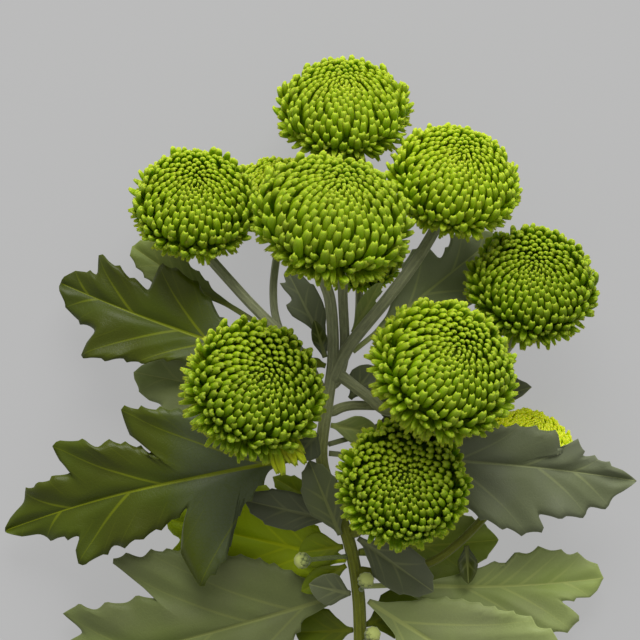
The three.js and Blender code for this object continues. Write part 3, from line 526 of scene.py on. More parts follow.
def catmull_rom(points, samples):
    """Points along a centripetal curve through the given points, evenly spaced by length."""
    points = np.asarray(points, float)
    ends = (2 * points[0] - points[1], 2 * points[-1] - points[-2])
    full = np.vstack([ends[0], points, ends[1]])
    dense = []
    for k in range(len(points) - 1):
        p0, p1, p2, p3 = full[k:k + 4]
        gaps = [max(np.linalg.norm(b - a) ** 0.5, 1e-4)
                for a, b in ((p0, p1), (p1, p2), (p2, p3))]
        d0, d1, d2 = gaps
        m1 = ((p1 - p0) / d0 - (p2 - p0) / (d0 + d1) + (p2 - p1) / d1) * d1
        m2 = ((p2 - p1) / d1 - (p3 - p1) / (d1 + d2) + (p3 - p2) / d2) * d1
        t = np.linspace(0, 1, 60, endpoint=k == len(points) - 2)[:, None]
        dense.append(
            p1 + m1 * t + (3 * (p2 - p1) - 2 * m1 - m2) * t ** 2
            + (2 * (p1 - p2) + m1 + m2) * t ** 3)
    dense = np.vstack(dense)
    length = np.concatenate([[0], np.cumsum(np.linalg.norm(np.diff(dense, axis=0), axis=1))])
    even = np.linspace(0, length[-1], samples)
    return np.stack([np.interp(even, length, dense[:, c]) for c in range(3)], axis=1)


def tangents_of(points):
    along = np.gradient(points, axis=0)
    return along / np.linalg.norm(along, axis=1)[:, None]


def carried_frames(points, first_side):
    """Two directions across the curve at each point, carried along it without twist."""
    along = tangents_of(points)
    side = np.asarray(first_side, float)
    sides = []
    for tangent in along:
        side = side - tangent * (side @ tangent)
        side = side / np.linalg.norm(side)
        sides.append(side)
    sides = np.array(sides)
    return sides, np.cross(along, sides)


def ring_faces(rings, sides, offset=0):
    """Quads between rings of points, listed so that they face outwards."""
    faces = []
    for i in range(rings - 1):
        for k in range(sides):
            a = offset + i * sides + k
            b = offset + i * sides + (k + 1) % sides
            faces.append((a, b, b + sides, a + sides))
    return faces


def deselect_everything():
    for item in bpy.context.view_layer.objects:
        item.select_set(False)


def mesh_piece(name, points, faces, layers, material, uv=None):
    """A smooth piece from points in mm of the spray's layout, with named point values."""
    mesh = bpy.data.meshes.new(name)
    placed = (np.asarray(points, float) + SHIFT) * MM
    mesh.from_pydata(placed.tolist(), [], [tuple(int(i) for i in face) for face in faces])
    for layer, values in layers.items():
        attribute = mesh.attributes.new(layer, "FLOAT", "POINT")
        attribute.data.foreach_set("value", np.asarray(values, np.float32))
    if uv is not None:
        corners = np.empty(len(mesh.loops), np.int32)
        mesh.loops.foreach_get("vertex_index", corners)
        uv_layer = mesh.uv_layers.new(name="surface")
        uv_layer.data.foreach_set("uv", np.asarray(uv, np.float32)[corners].ravel())
    mesh.polygons.foreach_set("use_smooth", [True] * len(mesh.polygons))
    mesh.materials.append(material)
    mesh.validate()
    mesh.update()
    piece = bpy.data.objects.new(name, mesh)
    bpy.context.scene.collection.objects.link(piece)
    return piece


def copied_faces(starts, faces):
    """The same faces once for each start, counted on from it."""
    return [tuple(int(start) + i for i in face) for start in starts for face in faces]


def take_place(piece, node):
    """Makes a piece ride on the body and take a node's place."""
    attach(piece, "root")
    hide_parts(node)


def modelled_shape(work):
    """Points in mm and faces of the object that has just been modelled, which is then removed."""
    bpy.ops.object.mode_set(mode="OBJECT")
    points = np.array([vertex.co[:] for vertex in work.data.vertices])
    faces = [tuple(face.vertices) for face in work.data.polygons]
    bpy.data.objects.remove(work, do_unlink=True)
    return points, faces


# Material helpers


class Shades:
    """Builds one material's nodes, keeping each line short."""

    def __init__(self, name):
        self.material = bpy.data.materials.new(name)
        self.material.use_nodes = True
        self.tree = self.material.node_tree
        self.shader = self.tree.nodes["Principled BSDF"]

    def node(self, kind, **settings):
        made = self.tree.nodes.new(kind)
        for key, value in settings.items():
            setattr(made, key, value)
        return made

    def put(self, socket, value):
        """Links a socket to another one, or sets it to a number or a colour."""
        if isinstance(value, bpy.types.NodeSocket):
            self.tree.links.new(value, socket)
        elif isinstance(value, (tuple, list)) and len(value) == 3 and socket.type == "RGBA":
            socket.default_value = (*value, 1)
        else:
            socket.default_value = value

    def layer(self, name):
        return self.node("ShaderNodeAttribute", attribute_name=name).outputs["Fac"]

    def math(self, operation, a, b=0.0):
        made = self.node("ShaderNodeMath", operation=operation)
        self.put(made.inputs[0], a)
        self.put(made.inputs[1], b)
        return made.outputs[0]

    def step(self, value, low, high, start=0.0, end=1.0):
        """Goes smoothly from start to end while the value goes from low to high."""
        made = self.node("ShaderNodeMapRange", interpolation_type="SMOOTHSTEP", clamp=True)
        for socket, given in zip(made.inputs, (value, low, high, start, end)):
            self.put(socket, given)
        return made.outputs[0]

    def mix(self, share, first, second):
        """Blends two colours."""
        made = self.node("ShaderNodeMix", data_type="RGBA")
        self.put(made.inputs["Factor"], share)
        self.put(made.inputs[6], first)
        self.put(made.inputs[7], second)
        return made.outputs[2]

    def shade(self, colour, value, hue=0.5, saturation=1.0):
        made = self.node("ShaderNodeHueSaturation")
        for name, given in zip(("Hue", "Saturation", "Value", "Color"),
                               (hue, saturation, value, colour)):
            self.put(made.inputs[name], given)
        return made.outputs[0]

    def coordinates(self, kind="Object", stretch=(1, 1, 1)):
        source = self.node("ShaderNodeTexCoord").outputs[kind]
        scaled = self.node("ShaderNodeMapping")
        self.put(scaled.inputs["Vector"], source)
        scaled.inputs["Scale"].default_value = stretch
        return scaled.outputs[0]

    def noise(self, where, scale, detail=3.0):
        made = self.node("ShaderNodeTexNoise")
        self.put(made.inputs["Vector"], where)
        made.inputs["Scale"].default_value = scale
        made.inputs["Detail"].default_value = detail
        return made.outputs["Fac"]

    def cells(self, where, scale):
        made = self.node("ShaderNodeTexVoronoi", feature="DISTANCE_TO_EDGE")
        self.put(made.inputs["Vector"], where)
        made.inputs["Scale"].default_value = scale
        return made.outputs["Distance"]

    def bump(self, height, strength, distance):
        made = self.node("ShaderNodeBump")
        made.inputs["Strength"].default_value = strength
        made.inputs["Distance"].default_value = distance
        self.put(made.inputs["Height"], height)
        self.put(self.shader.inputs["Normal"], made.outputs[0])

    def finish(self, colour, roughness, **constants):
        """Sets the shader's colour, roughness and other inputs, and gives the material."""
        self.put(self.shader.inputs["Base Color"], colour)
        self.put(self.shader.inputs["Roughness"], roughness)
        for name, value in constants.items():
            self.put(self.shader.inputs[name.replace("_", " ")], value)
        return self.material


def petal_material(settings):
    """Petals that are greener and painted lighter at the foot, with pale teeth and a soft glow, and
    painted light and shade in each head's brightness.
    """
    s = Shades("petals")
    along = s.layer("along")
    vary = s.layer("vary")
    where = s.coordinates()
    mottle = s.noise(where, 900.0)
    body = s.shade(tuple(settings.body), s.step(vary, 0, 1, 0.82, 1.18),
                   hue=s.step(mottle, 0.3, 0.7, 0.492, 0.508))
    # Towards the foot a petal takes the foot colour, painted lighter than the back to lift the
    # shade between the petals
    colour = s.mix(s.step(along, 0.25, 0.85), tuple(settings.deep), body)
    colour = s.mix(s.math("MULTIPLY", s.layer("yellow"), s.step(along, 0.3, 0.8)),
                   colour, tuple(settings.yellow))
    colour = s.mix(s.math("MULTIPLY", s.step(along, 0.72, 1.04), 0.6),
                   colour, tuple(settings.tip))
    # Each petal's brightness, which holds the painted light and shade of its head and of the head's
    # upper and lower side
    colour = s.shade(colour, s.layer("bright"))
    s.bump(s.noise(where, 2500.0, 2.0), 0.15, 0.0002)
    return s.finish(colour, s.step(mottle, 0.3, 0.7, 0.46, 0.60), Specular_IOR_Level=0.11,
                    Subsurface_Weight=0.5, Subsurface_Scale=0.004,
                    Subsurface_Radius=(0.7, 1.0, 0.1))


def vein_share(s, reach, along):
    """How much of a vein there is: the midrib, the side veins and the twigs to the notches."""
    rib_width = s.step(along, 0.0, 1.0, 0.75, 0.16)
    on_rib = s.math("SUBTRACT", 1.0,
                    s.step(s.math("DIVIDE", s.layer("rib"), rib_width), 0.55, 1.25))
    side = s.math("ABSOLUTE", s.layer("vein_0"))
    for number in range(1, MOST_VEINS):
        side = s.math("MINIMUM", side, s.math("ABSOLUTE", s.layer(f"vein_{number}")))
    side = s.math("DIVIDE", side, s.step(reach, 0.0, 1.0, 0.36, 0.12))
    on_side = s.step(side, 0.4, 1.8, s.step(reach, 0.0, 1.0, 0.66, 0.22), 0.0)
    twig = s.math("DIVIDE", s.layer("twig_vein"), 0.22)
    on_twig = s.math("MULTIPLY", s.step(twig, 0.3, 1.6, 0.09, 0.0), s.step(reach, 0.3, 0.6))
    return s.math("MAXIMUM", s.math("MAXIMUM", on_rib, on_side), on_twig)


def leaf_material(name, blade, vein, roughness, vein_strength, glow, sheen, dull_foot=0.0):
    """A leaf's blade with pale veins, a fine net of small veins and a light margin."""
    s = Shades(name)
    along = s.layer("lengthwise")
    flat = s.coordinates("UV")
    cloud = s.noise(flat, 0.35, 2.0)
    net = s.cells(flat, 7.5)
    lighter = tuple(min(1.0, c * 1.25) for c in blade)
    greyer = (blade[0] * 0.95 + 0.012, blade[1] * 0.9 + 0.016, blade[2] * 0.9 + 0.020)
    greener = (blade[0] * 1.25, blade[1] * 1.45, blade[2] * 0.4)
    duller = (blade[0] * 1.2 + 0.026, blade[1] * 1.15 + 0.028, blade[2] + 0.055)
    pale_edge = tuple(min(1.0, c * 1.8 + 0.03) for c in blade)
    underside = tuple(c * 1.25 + 0.05 for c in blade)
    colour = s.mix(s.step(cloud, 0.42, 0.58), blade, greyer)
    near_rib = s.math("MULTIPLY", s.step(s.layer("rib"), 1.0, 9.0, 1.0, 0.0),
                      s.step(along, 0.25, 0.6))
    colour = s.mix(s.math("MULTIPLY", near_rib, glow), colour, greener)
    colour = s.mix(s.step(along, 0.30, 0.52, dull_foot, 0.0), colour, duller)
    colour = s.mix(s.step(net, 0.02, 0.10, 0.15, 0.0), colour, lighter)
    on_vein = vein_share(s, s.layer("reach"), along)
    colour = s.mix(s.math("MULTIPLY", on_vein, vein_strength), colour, vein)
    colour = s.mix(s.step(s.layer("rim"), 0.05, 0.45, 0.3, 0.0), colour, pale_edge)
    below = s.mix(s.math("MULTIPLY", on_vein, 0.6), underside, vein)
    colour = s.mix(s.layer("upper"), below, colour)
    # The leaf's brightness, partly painted light and shade, and its saturation
    colour = s.shade(colour, s.layer("bright"), saturation=s.layer("fresh"))
    height = s.math("SUBTRACT", s.step(net, 0.0, 0.12), s.math("MULTIPLY", on_vein, 1.6))
    s.bump(height, 0.14, 0.00025)
    return s.finish(colour, s.step(cloud, 0.3, 0.7, roughness - 0.06, roughness + 0.08),
                    Specular_IOR_Level=0.22, Sheen_Weight=sheen, Sheen_Roughness=0.5,
                    Sheen_Tint=LEAF_DOWN_TINT)


def stem_material(settings):
    """A streaked, downy stem with paler ridges, darker towards its cut end."""
    s = Shades("stems")
    where = s.coordinates()
    lengths = s.noise(s.coordinates("UV", (3.0, 0.05, 1)), 6.0, 3.0)
    dull = tuple(c * 0.84 for c in settings.colour)
    pale = tuple(c * 1.14 for c in settings.colour)
    colour = s.mix(s.step(lengths, 0.3, 0.7), dull, pale)
    colour = s.mix(s.math("MULTIPLY", s.step(s.layer("ridge"), 0.1, 1.0), 0.35),
                   colour, tuple(c * 1.7 for c in settings.colour))
    fleck = s.noise(where, 2600.0, 2.0)
    colour = s.mix(s.step(fleck, 0.58, 0.75, 0.0, 0.25), colour, tuple(settings.down))
    parts = s.node("ShaderNodeSeparateXYZ")
    s.put(parts.inputs[0], where)
    forward = parts.outputs[1]
    colour = s.shade(colour, s.step(forward, *STEM_DARKENS, 0.52, 1.0),
                     saturation=s.step(forward, *STEM_DARKENS, 2.0, 1.0))
    s.bump(fleck, 0.35, 0.0002)
    return s.finish(colour, 0.68, Sheen_Weight=0.45, Sheen_Roughness=0.35,
                    Sheen_Tint=DOWN_TINT, Specular_IOR_Level=0.25)


def calyx_material():
    """Dark green calyx scales with dry, paler tips."""
    s = Shades("calyx_scales")
    along = s.layer("along")
    fleck = s.noise(s.coordinates(), 2200.0, 3.0)
    body = s.mix(s.step(fleck, 0.35, 0.65), *CALYX_GREENS)
    colour = s.mix(s.step(along, 0.72, 1.0, 0.0, 0.6), body, CALYX_TIP)
    s.bump(fleck, 0.3, 0.0002)
    return s.finish(colour, 0.62, Sheen_Weight=0.3, Sheen_Roughness=0.4,
                    Sheen_Tint=DOWN_TINT, Specular_IOR_Level=0.3)


def bud_material(settings):
    s = Shades("bud_scales")
    along = s.layer("along")
    fleck = s.noise(s.coordinates(), 1800.0, 3.0)
    green = s.mix(s.step(fleck, 0.35, 0.65), *BUD_GREENS)
    colour = s.mix(s.step(along, 0.35, 0.8), green, tuple(settings.bud))
    s.bump(fleck, 0.25, 0.0002)
    return s.finish(colour, 0.6, Sheen_Weight=0.25, Sheen_Roughness=0.4,
                    Specular_IOR_Level=0.3)


# Heads


def petal_model():
    """One straight petal, an incurved boat with a notched tip, 1 long and 1 wide.

    It grows along z. Its rounded back looks along +y and its groove along -y.
    """
    deselect_everything()
    bpy.ops.mesh.primitive_circle_add(vertices=PETAL_SIDES, radius=0.5, fill_type="NGON")
    work = bpy.context.object
    for vertex in work.data.vertices:
        x, y, _ = vertex.co
        vertex.co.y = y * 0.92 if y > 0 else y * 0.60
        if abs(x) < 0.1 and y < 0:
            vertex.co.y = -0.10
    bpy.ops.object.mode_set(mode="EDIT")
    bpy.ops.mesh.select_all(action="SELECT")
    place, wide, deep = PETAL_RINGS[0]
    bpy.ops.transform.resize(value=(wide, deep, 1))
    for next_place, next_wide, next_deep in PETAL_RINGS[1:]:
        bpy.ops.mesh.extrude_region_move(
            TRANSFORM_OT_translate={"value": (0, 0, next_place - place)})
        bpy.ops.transform.resize(value=(next_wide / wide, next_deep / deep, 1))
        place, wide, deep = next_place, next_wide, next_deep
    bpy.ops.mesh.inset(thickness=0.12, depth=-0.05)
    bpy.ops.mesh.merge(type="CENTER")
    bpy.ops.object.mode_set(mode="OBJECT")
    rim = PETAL_RINGS[-1][0]
    for vertex in work.data.vertices:
        x, y, z = vertex.co
        if z < rim - 0.01:
            continue
        if math.hypot(x, y) < 0.08:
            vertex.co.z = rim - 0.05
        elif y > 0.1 and abs(x) < 0.1:
            vertex.co.z += 0.02
        elif y > 0.1:
            vertex.co.z -= 0.005
        elif abs(x) > 0.2:
            vertex.co.z += 0.03
        else:
            vertex.co.z -= 0.035
    return modelled_shape(work)


def petal_angles(spacing):
    """Angles from the crown for as many petals as fit on a head with this spacing."""
    angles = np.linspace(0.5, HEAD_REACH, 600)
    turn = np.radians(angles)
    depth = np.where(angles < 90, HEAD_TOP, HEAD_BASE)
    along = np.hypot(np.cos(turn), np.sin(turn) * depth)
    gap = np.interp(angles, PETAL_ANGLE, PETAL_SPACING) * spacing
    density = 2 * math.pi * np.sin(turn) * along / (0.9 * gap ** 2)
    step = turn[1] - turn[0]
    count = np.cumsum(density) * step
    return np.interp(np.arange(0.5, count[-1]), count, angles)


def petal_midlines(length, lean, bend):
    """Shares of length travelled outwards and towards the crown, back from each tip."""
    stations = np.linspace(0, 1, 25)
    angle = lean[:, None] - bend[:, None] * (1 - stations[None, :] ** 1.5)
    step = length[:, None] / (len(stations) - 1)

    def back_from_tip(rate):
        middle = (rate[:, 1:] + rate[:, :-1]) / 2 * step
        whole = np.concatenate([np.zeros((len(length), 1)), np.cumsum(middle, axis=1)], axis=1)
        return whole - whole[:, -1:]

    return stations, angle, back_from_tip(np.cos(angle)), back_from_tip(np.sin(angle))


def read_at(stations, table, place):
    """Values of each row of a table at the places given, running on straight past the ends."""
    position = np.clip(place, 0, 1) * (len(stations) - 1)
    low = np.minimum(position.astype(int), len(stations) - 2)
    share = position - low
    return table[:, low] * (1 - share) + table[:, low + 1] * share


def petal_forms(radius, settings, opened, random):
    """Where each petal stands, in degrees and radians, and its angles and sizes in mm."""
    polar = petal_angles(settings.spacing)
    count = len(polar)
    outer = smooth_step(20, 80, polar)
    gap = np.interp(polar, PETAL_ANGLE, PETAL_SPACING) * settings.spacing * radius
    loose = gap / radius * (0.26 + 0.34 * outer)
    around = np.arange(count) * GOLDEN_TURN + (random.random(count) - 0.5) * loose / np.sin(
        np.radians(np.maximum(polar, 6)))
    polar = polar + np.degrees((random.random(count) - 0.5) * loose)
    share = 0.985 + (random.random(count) - 0.5) * (0.04 + 0.11 * outer)
    lean = np.interp(polar, PETAL_ANGLE, PETAL_LEAN) + (random.random(count) - 0.5) * (
        10 + 22 * outer)
    bend = np.interp(polar, PETAL_ANGLE, PETAL_BEND) + (random.random(count) - 0.5) * 12
    length = np.interp(polar, PETAL_ANGLE, PETAL_REACH) * radius
    length = length * (1 + (random.random(count) - 0.5) * 0.12)
    width = gap * np.interp(polar, PETAL_ANGLE, PETAL_WIDTH) * settings.plumpness
    open_side = opened * outer * (0.5 + 0.5 * np.cos(around - OPEN_TOWARDS)) ** 2
    return {
        "polar": polar, "around": around, "share": share,
        "lean": lean * (1 - 0.75 * open_side), "bend": bend, "length": length,
        "width": width * (1 + (random.random(count) - 0.5) * 0.28) * (1 - 0.12 * open_side),
        "yaw": np.radians((random.random(count) - 0.5) * (16 + 30 * outer)),
        "twist": np.radians((random.random(count) - 0.5) * (20 + 20 * outer)),
        "vary": random.random(count),
        "yellow": 0.4 * smooth_step(84, 112, polar),
    }


def loose_tuft(radius, random):
    """A few long, pale petals that hang out of a head's lower edge, as petal_forms gives them."""
    count = TUFT_PETALS
    around = np.radians(np.linspace(*TUFT_SIDES, count)) + (random.random(count) - 0.5) * 0.08
    spread = random.random(count)
    return {
        "polar": 92 + 8 * random.random(count), "around": around, "share": 1.10 + 0.14 * spread,
        "lean": -4 + 12 * random.random(count), "bend": 8 + 8 * random.random(count),
        "length": (0.56 + 0.10 * random.random(count)) * radius,
        "width": 0.13 * radius * (0.9 + 0.2 * random.random(count)),
        "yaw": (random.random(count) - 0.5) * 0.4, "twist": (random.random(count) - 0.5) * 0.8,
        "vary": 0.8 + 0.2 * random.random(count), "yellow": 0.65 + 0.3 * random.random(count),
    }


def petal_seats(forms, radius):
    """Each petal's tip and its outward, crownward and sideways directions."""
    turn = np.radians(forms["polar"])
    depth = np.where(forms["polar"] < 90, HEAD_TOP, HEAD_BASE)
    out = np.stack([np.cos(forms["around"]), np.sin(forms["around"])], axis=1)
    tip, normal, crownward = (np.empty((len(turn), 3)) for _ in range(3))
    tip[:, :2] = out * (np.sin(turn) * radius * forms["share"])[:, None]
    tip[:, 2] = np.cos(turn) * depth * radius * forms["share"]
    normal[:, :2] = out * np.sin(turn)[:, None]
    normal[:, 2] = np.cos(turn) / depth
    normal /= np.linalg.norm(normal, axis=1)[:, None]
    crownward[:, :2] = -out * np.cos(turn)[:, None]
    crownward[:, 2] = np.sin(turn) * depth
    crownward /= np.linalg.norm(crownward, axis=1)[:, None]
    across = np.cross(normal, crownward)
    yaw = forms["yaw"][:, None]
    crownward = crownward * np.cos(yaw) + across * np.sin(yaw)
    return tip, normal, crownward, np.cross(normal, crownward)


def grown_petals(model, radius, forms):
    """All petals of a head round its middle, with its crown straight up, in mm."""
    tip, normal, crownward, across = petal_seats(forms, radius)
    length, width = forms["length"][:, None], forms["width"][:, None]
    stations, angle, outwards, towards = petal_midlines(
        forms["length"], np.radians(forms["lean"]), np.radians(forms["bend"]))
    x, y, z = model[0].T
    place = np.clip(z, 0, 1)
    over = np.clip(z - 1, 0, None)[None, :] * length
    here = read_at(stations, angle, place)
    cos_twist, sin_twist = np.cos(forms["twist"])[:, None], np.sin(forms["twist"])[:, None]
    narrowed = 1 - 0.16 * smooth_step(40, 85, forms["polar"])[:, None] * smooth_step(
        0.66, 1.0, z)[None, :]
    side = (x[None, :] * cos_twist - y[None, :] * sin_twist) * width * narrowed
    back = (x[None, :] * sin_twist + y[None, :] * cos_twist) * width * narrowed
    rise = read_at(stations, outwards, place) + over * np.cos(here) + back * np.sin(here)
    run = read_at(stations, towards, place) + over * np.sin(here) - back * np.cos(here)
    points = (tip[:, None, :] + normal[:, None, :] * rise[:, :, None]
              + crownward[:, None, :] * run[:, :, None] + across[:, None, :] * side[:, :, None])
    count, size = points.shape[:2]
    layers = {"along": np.tile(z, count), "vary": np.repeat(forms["vary"], size),
              "yellow": np.repeat(forms["yellow"], size)}
    return points.reshape(-1, 3), layers, copied_faces(np.arange(count) * size, model[1])


def head_axis(name):
    """The way a head looks."""
    tilt, towards = HEADS[name][2:4]
    tilt = math.radians(tilt)
    return unit((*towards, 0)) * math.sin(tilt) + UP * math.cos(tilt)


def turned_to_head(points, name):
    """Points round a head's middle, turned from straight up to the way the head looks."""
    placed = points @ turn_from_up(head_axis(name)).T + np.array(HEADS[name][0], float)
    placed[:, 2] = np.maximum(placed[:, 2], FLOOR_GAP)
    return placed


def core_model():
    """The closed ball that the petals stand on, 1 in radius before it is sized."""
    deselect_everything()
    bpy.ops.mesh.primitive_uv_sphere_add(segments=28, ring_count=16, radius=1)
    return modelled_shape(bpy.context.object)


def add_head(name, number, model, core, material, settings):
    """One head: its petals and the middle that they stand on, as one piece."""
    middle, radius, _, _, yellow, bright, slot = HEADS[name]
    random = np.random.default_rng(HEAD_SEED + number)
    forms = petal_forms(radius, settings, OPEN_SIDE.get(name, LEAST_OPEN), random)
    if name == TUFT_HEAD:
        tuft = loose_tuft(radius, random)
        forms = {key: np.concatenate([forms[key], tuft[key]]) for key in forms}
    points, layers, faces = grown_petals(model, radius, forms)
    inside = core[0] * CORE_SHARE * radius
    inside[:, 2] *= np.where(inside[:, 2] > 0, HEAD_TOP, HEAD_BASE)
    inside[:, 2] = np.maximum(inside[:, 2], -HEAD_FLAT * radius * CORE_FLAT)
    turned = turned_to_head(np.vstack([points, inside]), name)
    layers["yellow"] = np.maximum(layers["yellow"], yellow)
    # Each head's brightness from the table, partly painted light and shade
    layers["bright"] = np.full(len(points), bright)
    # Painted shade: the middle gets half the brightness, so that it shows dark between the petals
    layers = {
        key: np.concatenate([value, np.full(len(inside), 0.0 if key == "along" else 0.5)])
        for key, value in layers.items()
    }
    # Painted light: the upper side of each head, towards the key light, is painted yellower and
    # brighter, and the lower side darker
    painted_light_side = np.clip((turned[:, 1] - middle[1]) / radius, -1, 1)
    layers["yellow"] = layers["yellow"] + PAINTED_LIGHT_YELLOW * np.clip(painted_light_side, 0, 1)
    layers["bright"] = layers["bright"] * (1 + PAINTED_LIGHT_BRIGHT * painted_light_side)
    faces += copied_faces([len(points)], core[1])
    piece = mesh_piece("petals_" + name, turned, faces, layers, material)
    take_place(piece, "head_" + name)


class SPRAY_OT_heads(bpy.types.Operator):
    """Grow the petals of all eleven heads"""

    bl_idname = "spray.heads"
    bl_label = "Heads"

    def execute(self, context):
        settings = context.scene.spray_heads
        material = petal_material(settings)
        model, core = petal_model(), core_model()
        for number, name in enumerate(HEADS):
            add_head(name, number, model, core, material, settings)
        return {"FINISHED"}


# Calyxes


def scale_model():
    """One small scale of a calyx or bud, 1 long and 1 wide, growing along z, its back at +y."""
    deselect_everything()
    bpy.ops.mesh.primitive_grid_add(x_subdivisions=4, y_subdivisions=5, size=1)
    work = bpy.context.object
    for vertex in work.data.vertices:
        x, along, _ = vertex.co
        share = along + 0.5
        wide = math.sin(math.pi * min(1.0, share * 0.78 + 0.2)) ** 0.7
        vertex.co = (x * wide, 0.16 * wide * (1 - 4 * x * x), share)
    bpy.ops.object.modifier_add(type="SOLIDIFY")
    work.modifiers[-1].thickness = 0.09
    bpy.ops.object.modifier_apply(modifier=work.modifiers[-1].name)
    bpy.ops.object.mode_set(mode="EDIT")
    bpy.ops.mesh.select_all(action="SELECT")
    bpy.ops.mesh.normals_make_consistent(inside=False)
    return modelled_shape(work)


def turned_profile(profile, sides):
    """Points and faces of a closed turned form from (radius, height) pairs, poles included."""
    rings = [(r, z) for r, z in profile if r > 0]
    points = [(0.0, 0.0, profile[0][1])]
    for radius, height in rings:
        for k in range(sides):
            turn = 2 * math.pi * k / sides
            points.append((radius * math.cos(turn), radius * math.sin(turn), height))
    points.append((0.0, 0.0, profile[-1][1]))
    faces = ring_faces(len(rings), sides, 1)
    last = len(points) - 1
    for k in range(sides):
        after = (k + 1) % sides
        faces.append((0, 1 + after, 1 + k))
        faces.append((last, last - sides + k, last - sides + after))
    return np.array(points), faces


def placed_scales(model, feet, outs, ups, lengths, widths, curl):
    """Copies of a scale at the feet given, each leaning from its up direction over its back."""
    x, y, z = model[0].T
    made = []
    for foot, out, up, length, width in zip(feet, outs, ups, lengths, widths):
        side = np.cross(out, up)
        bend = curl * z
        run = np.sin(bend) / curl * length
        fall = (1 - np.cos(bend)) / curl * length
        points = (foot + np.outer(x * width, side) + np.outer(run, up)
                  + np.outer(y * width - fall, out))
        made.append(points)
    return np.vstack(made), np.tile(z, len(feet))


def calyx_shape(radius, scale):
    """A cup under a head, with rows of scales on it, its axis straight up, in mm."""
    top = -HEAD_FLAT * radius - SEAT_GAP
    wide = CALYX_SHARE * radius
    profile = [
        (0, top - CALYX_HEIGHT), (NECK_RADIUS, top - CALYX_HEIGHT),
        (NECK_RADIUS + 0.5, top - CALYX_HEIGHT * 0.86),
        (NECK_RADIUS + 0.9, top - CALYX_HEIGHT * 0.72),
        (wide * 0.60, top - CALYX_HEIGHT * 0.48), (wide * 0.76, top - CALYX_HEIGHT * 0.3),
        (wide * 0.86, top - CALYX_HEIGHT * 0.12), (wide * 0.9, top + 0.4), (0, top + 0.8),
    ]
    points, faces = turned_profile(profile, CALYX_SIDES)
    along = np.zeros(len(points))
    for number, (drop, share, count, length) in enumerate(SCALE_ROWS):
        turns = 2 * math.pi * (np.arange(count) + number * 0.37) / count
        outward = np.stack([np.cos(turns), np.sin(turns), np.zeros(count)], axis=1)
        feet = outward * (wide * share * 0.92) + UP * (top - CALYX_HEIGHT * drop)
        slope = math.radians(34 + 14 * number)
        ups = outward * math.cos(slope) + UP * math.sin(slope)
        outs = outward * math.sin(slope) - UP * math.cos(slope)
        width = 2 * math.pi * wide * share / count * 1.35
        scales, height = placed_scales(
            scale, feet, outs, ups, [length] * count, [width] * count, 0.5)
        starts = len(points) + np.arange(count) * len(scale[0])
        faces = faces + copied_faces(starts, scale[1])
        points = np.vstack([points, scales])
        along = np.concatenate([along, height])
    return points, faces, along


def add_calyx(name, scale, material):
    """The calyx under a head, as one piece."""
    points, faces, along = calyx_shape(HEADS[name][1], scale)
    piece = mesh_piece("scales_" + name, turned_to_head(points, name), faces,
                       {"along": along}, material)
    take_place(piece, "calyx_" + name)


class SPRAY_OT_calyxes(bpy.types.Operator):
    """Add the cup of small scales under each head"""

    bl_idname = "spray.calyxes"
    bl_label = "Calyxes"

    def execute(self, context):
        material = calyx_material()
        scale = scale_model()
        for name in HEADS:
            add_calyx(name, scale, material)
        return {"FINISHED"}


# Stem


def stem_line(name, samples):
    """Points along a stem's middle, up to the calyx that it carries."""
    run, _, head, _, _ = STEMS[name]
    middle, radius = HEADS[head][:2]
    axis = head_axis(head)
    depth = HEAD_FLAT * radius + CALYX_HEIGHT + 2 * SEAT_GAP
    end = np.array(middle, float) - axis * depth
    before = end - axis * 0.22 * radius
    return catmull_rom([*run, before, end], samples)


def ridged_tube(name, ridge_height):
    """A stem as a closed tube with ridges, wider where it leaves the stem that carries it."""
    _, radii, _, sides, rings = STEMS[name]
    centres = stem_line(name, rings)
    side, other = carried_frames(centres, (1, 0.2, 0.1))
    share = np.linspace(0, 1, rings)
    length = np.concatenate(
        [[0], np.cumsum(np.linalg.norm(np.diff(centres, axis=0), axis=1))])
    radius = radii[0] + (radii[1] - radii[0]) * share
    if name != "main":
        rounded = np.sqrt(np.clip(length / 3.0, 0.03, 1))
        radius = radius * (1 + FOOT_FLARE[0] * np.exp(-length / FOOT_FLARE[1])) * rounded
    radius = radius * (1 + TOP_FLARE[0] * np.exp(-(length[-1] - length) / TOP_FLARE[1]))
    ridges = MAIN_RIDGES if name == "main" else SIDE_RIDGES
    turn = 2 * math.pi * np.arange(sides) / sides
    twist = 0.25 * np.sin(length / 30)[:, None]
    ridge = np.cos(ridges * (turn[None, :] + twist))
    swell = 1 + ridge_height * ridge
    wide = radius[:, None] * swell
    points = (centres[:, None, :]
              + side[:, None, :] * (wide * np.cos(turn)[None, :])[:, :, None]
              + other[:, None, :] * (wide * np.sin(turn)[None, :])[:, :, None])
    points = points.reshape(-1, 3)
    faces = ring_faces(rings, sides)
    faces.append(tuple(range(sides - 1, -1, -1)))
    faces.append(tuple(range((rings - 1) * sides, rings * sides)))
    around = np.broadcast_to(turn[None, :] / (2 * math.pi), ridge.shape)
    run = np.broadcast_to(length[:, None], ridge.shape)
    uv = np.stack([around, run], axis=2).reshape(-1, 2)
    return points, faces, ridge.reshape(-1), uv


def add_stem(settings):
    """The main stem and the side stems, as one piece."""
    points, faces, ridges, uvs = [], [], [], []
    count = 0
    for name in STEMS:
        tube, tube_faces, ridge, uv = ridged_tube(name, settings.ridge)
        faces += copied_faces([count], tube_faces)
        points.append(tube)
        ridges.append(ridge)
        uvs.append(uv)
        count += len(tube)
    points = np.vstack(points)
    points[:, 2] = np.maximum(points[:, 2], FLOOR_GAP)
    piece = mesh_piece("stem_ridged", points, faces, {"ridge": np.concatenate(ridges)},
                       stem_material(settings), np.vstack(uvs))
    take_place(piece, "stem")


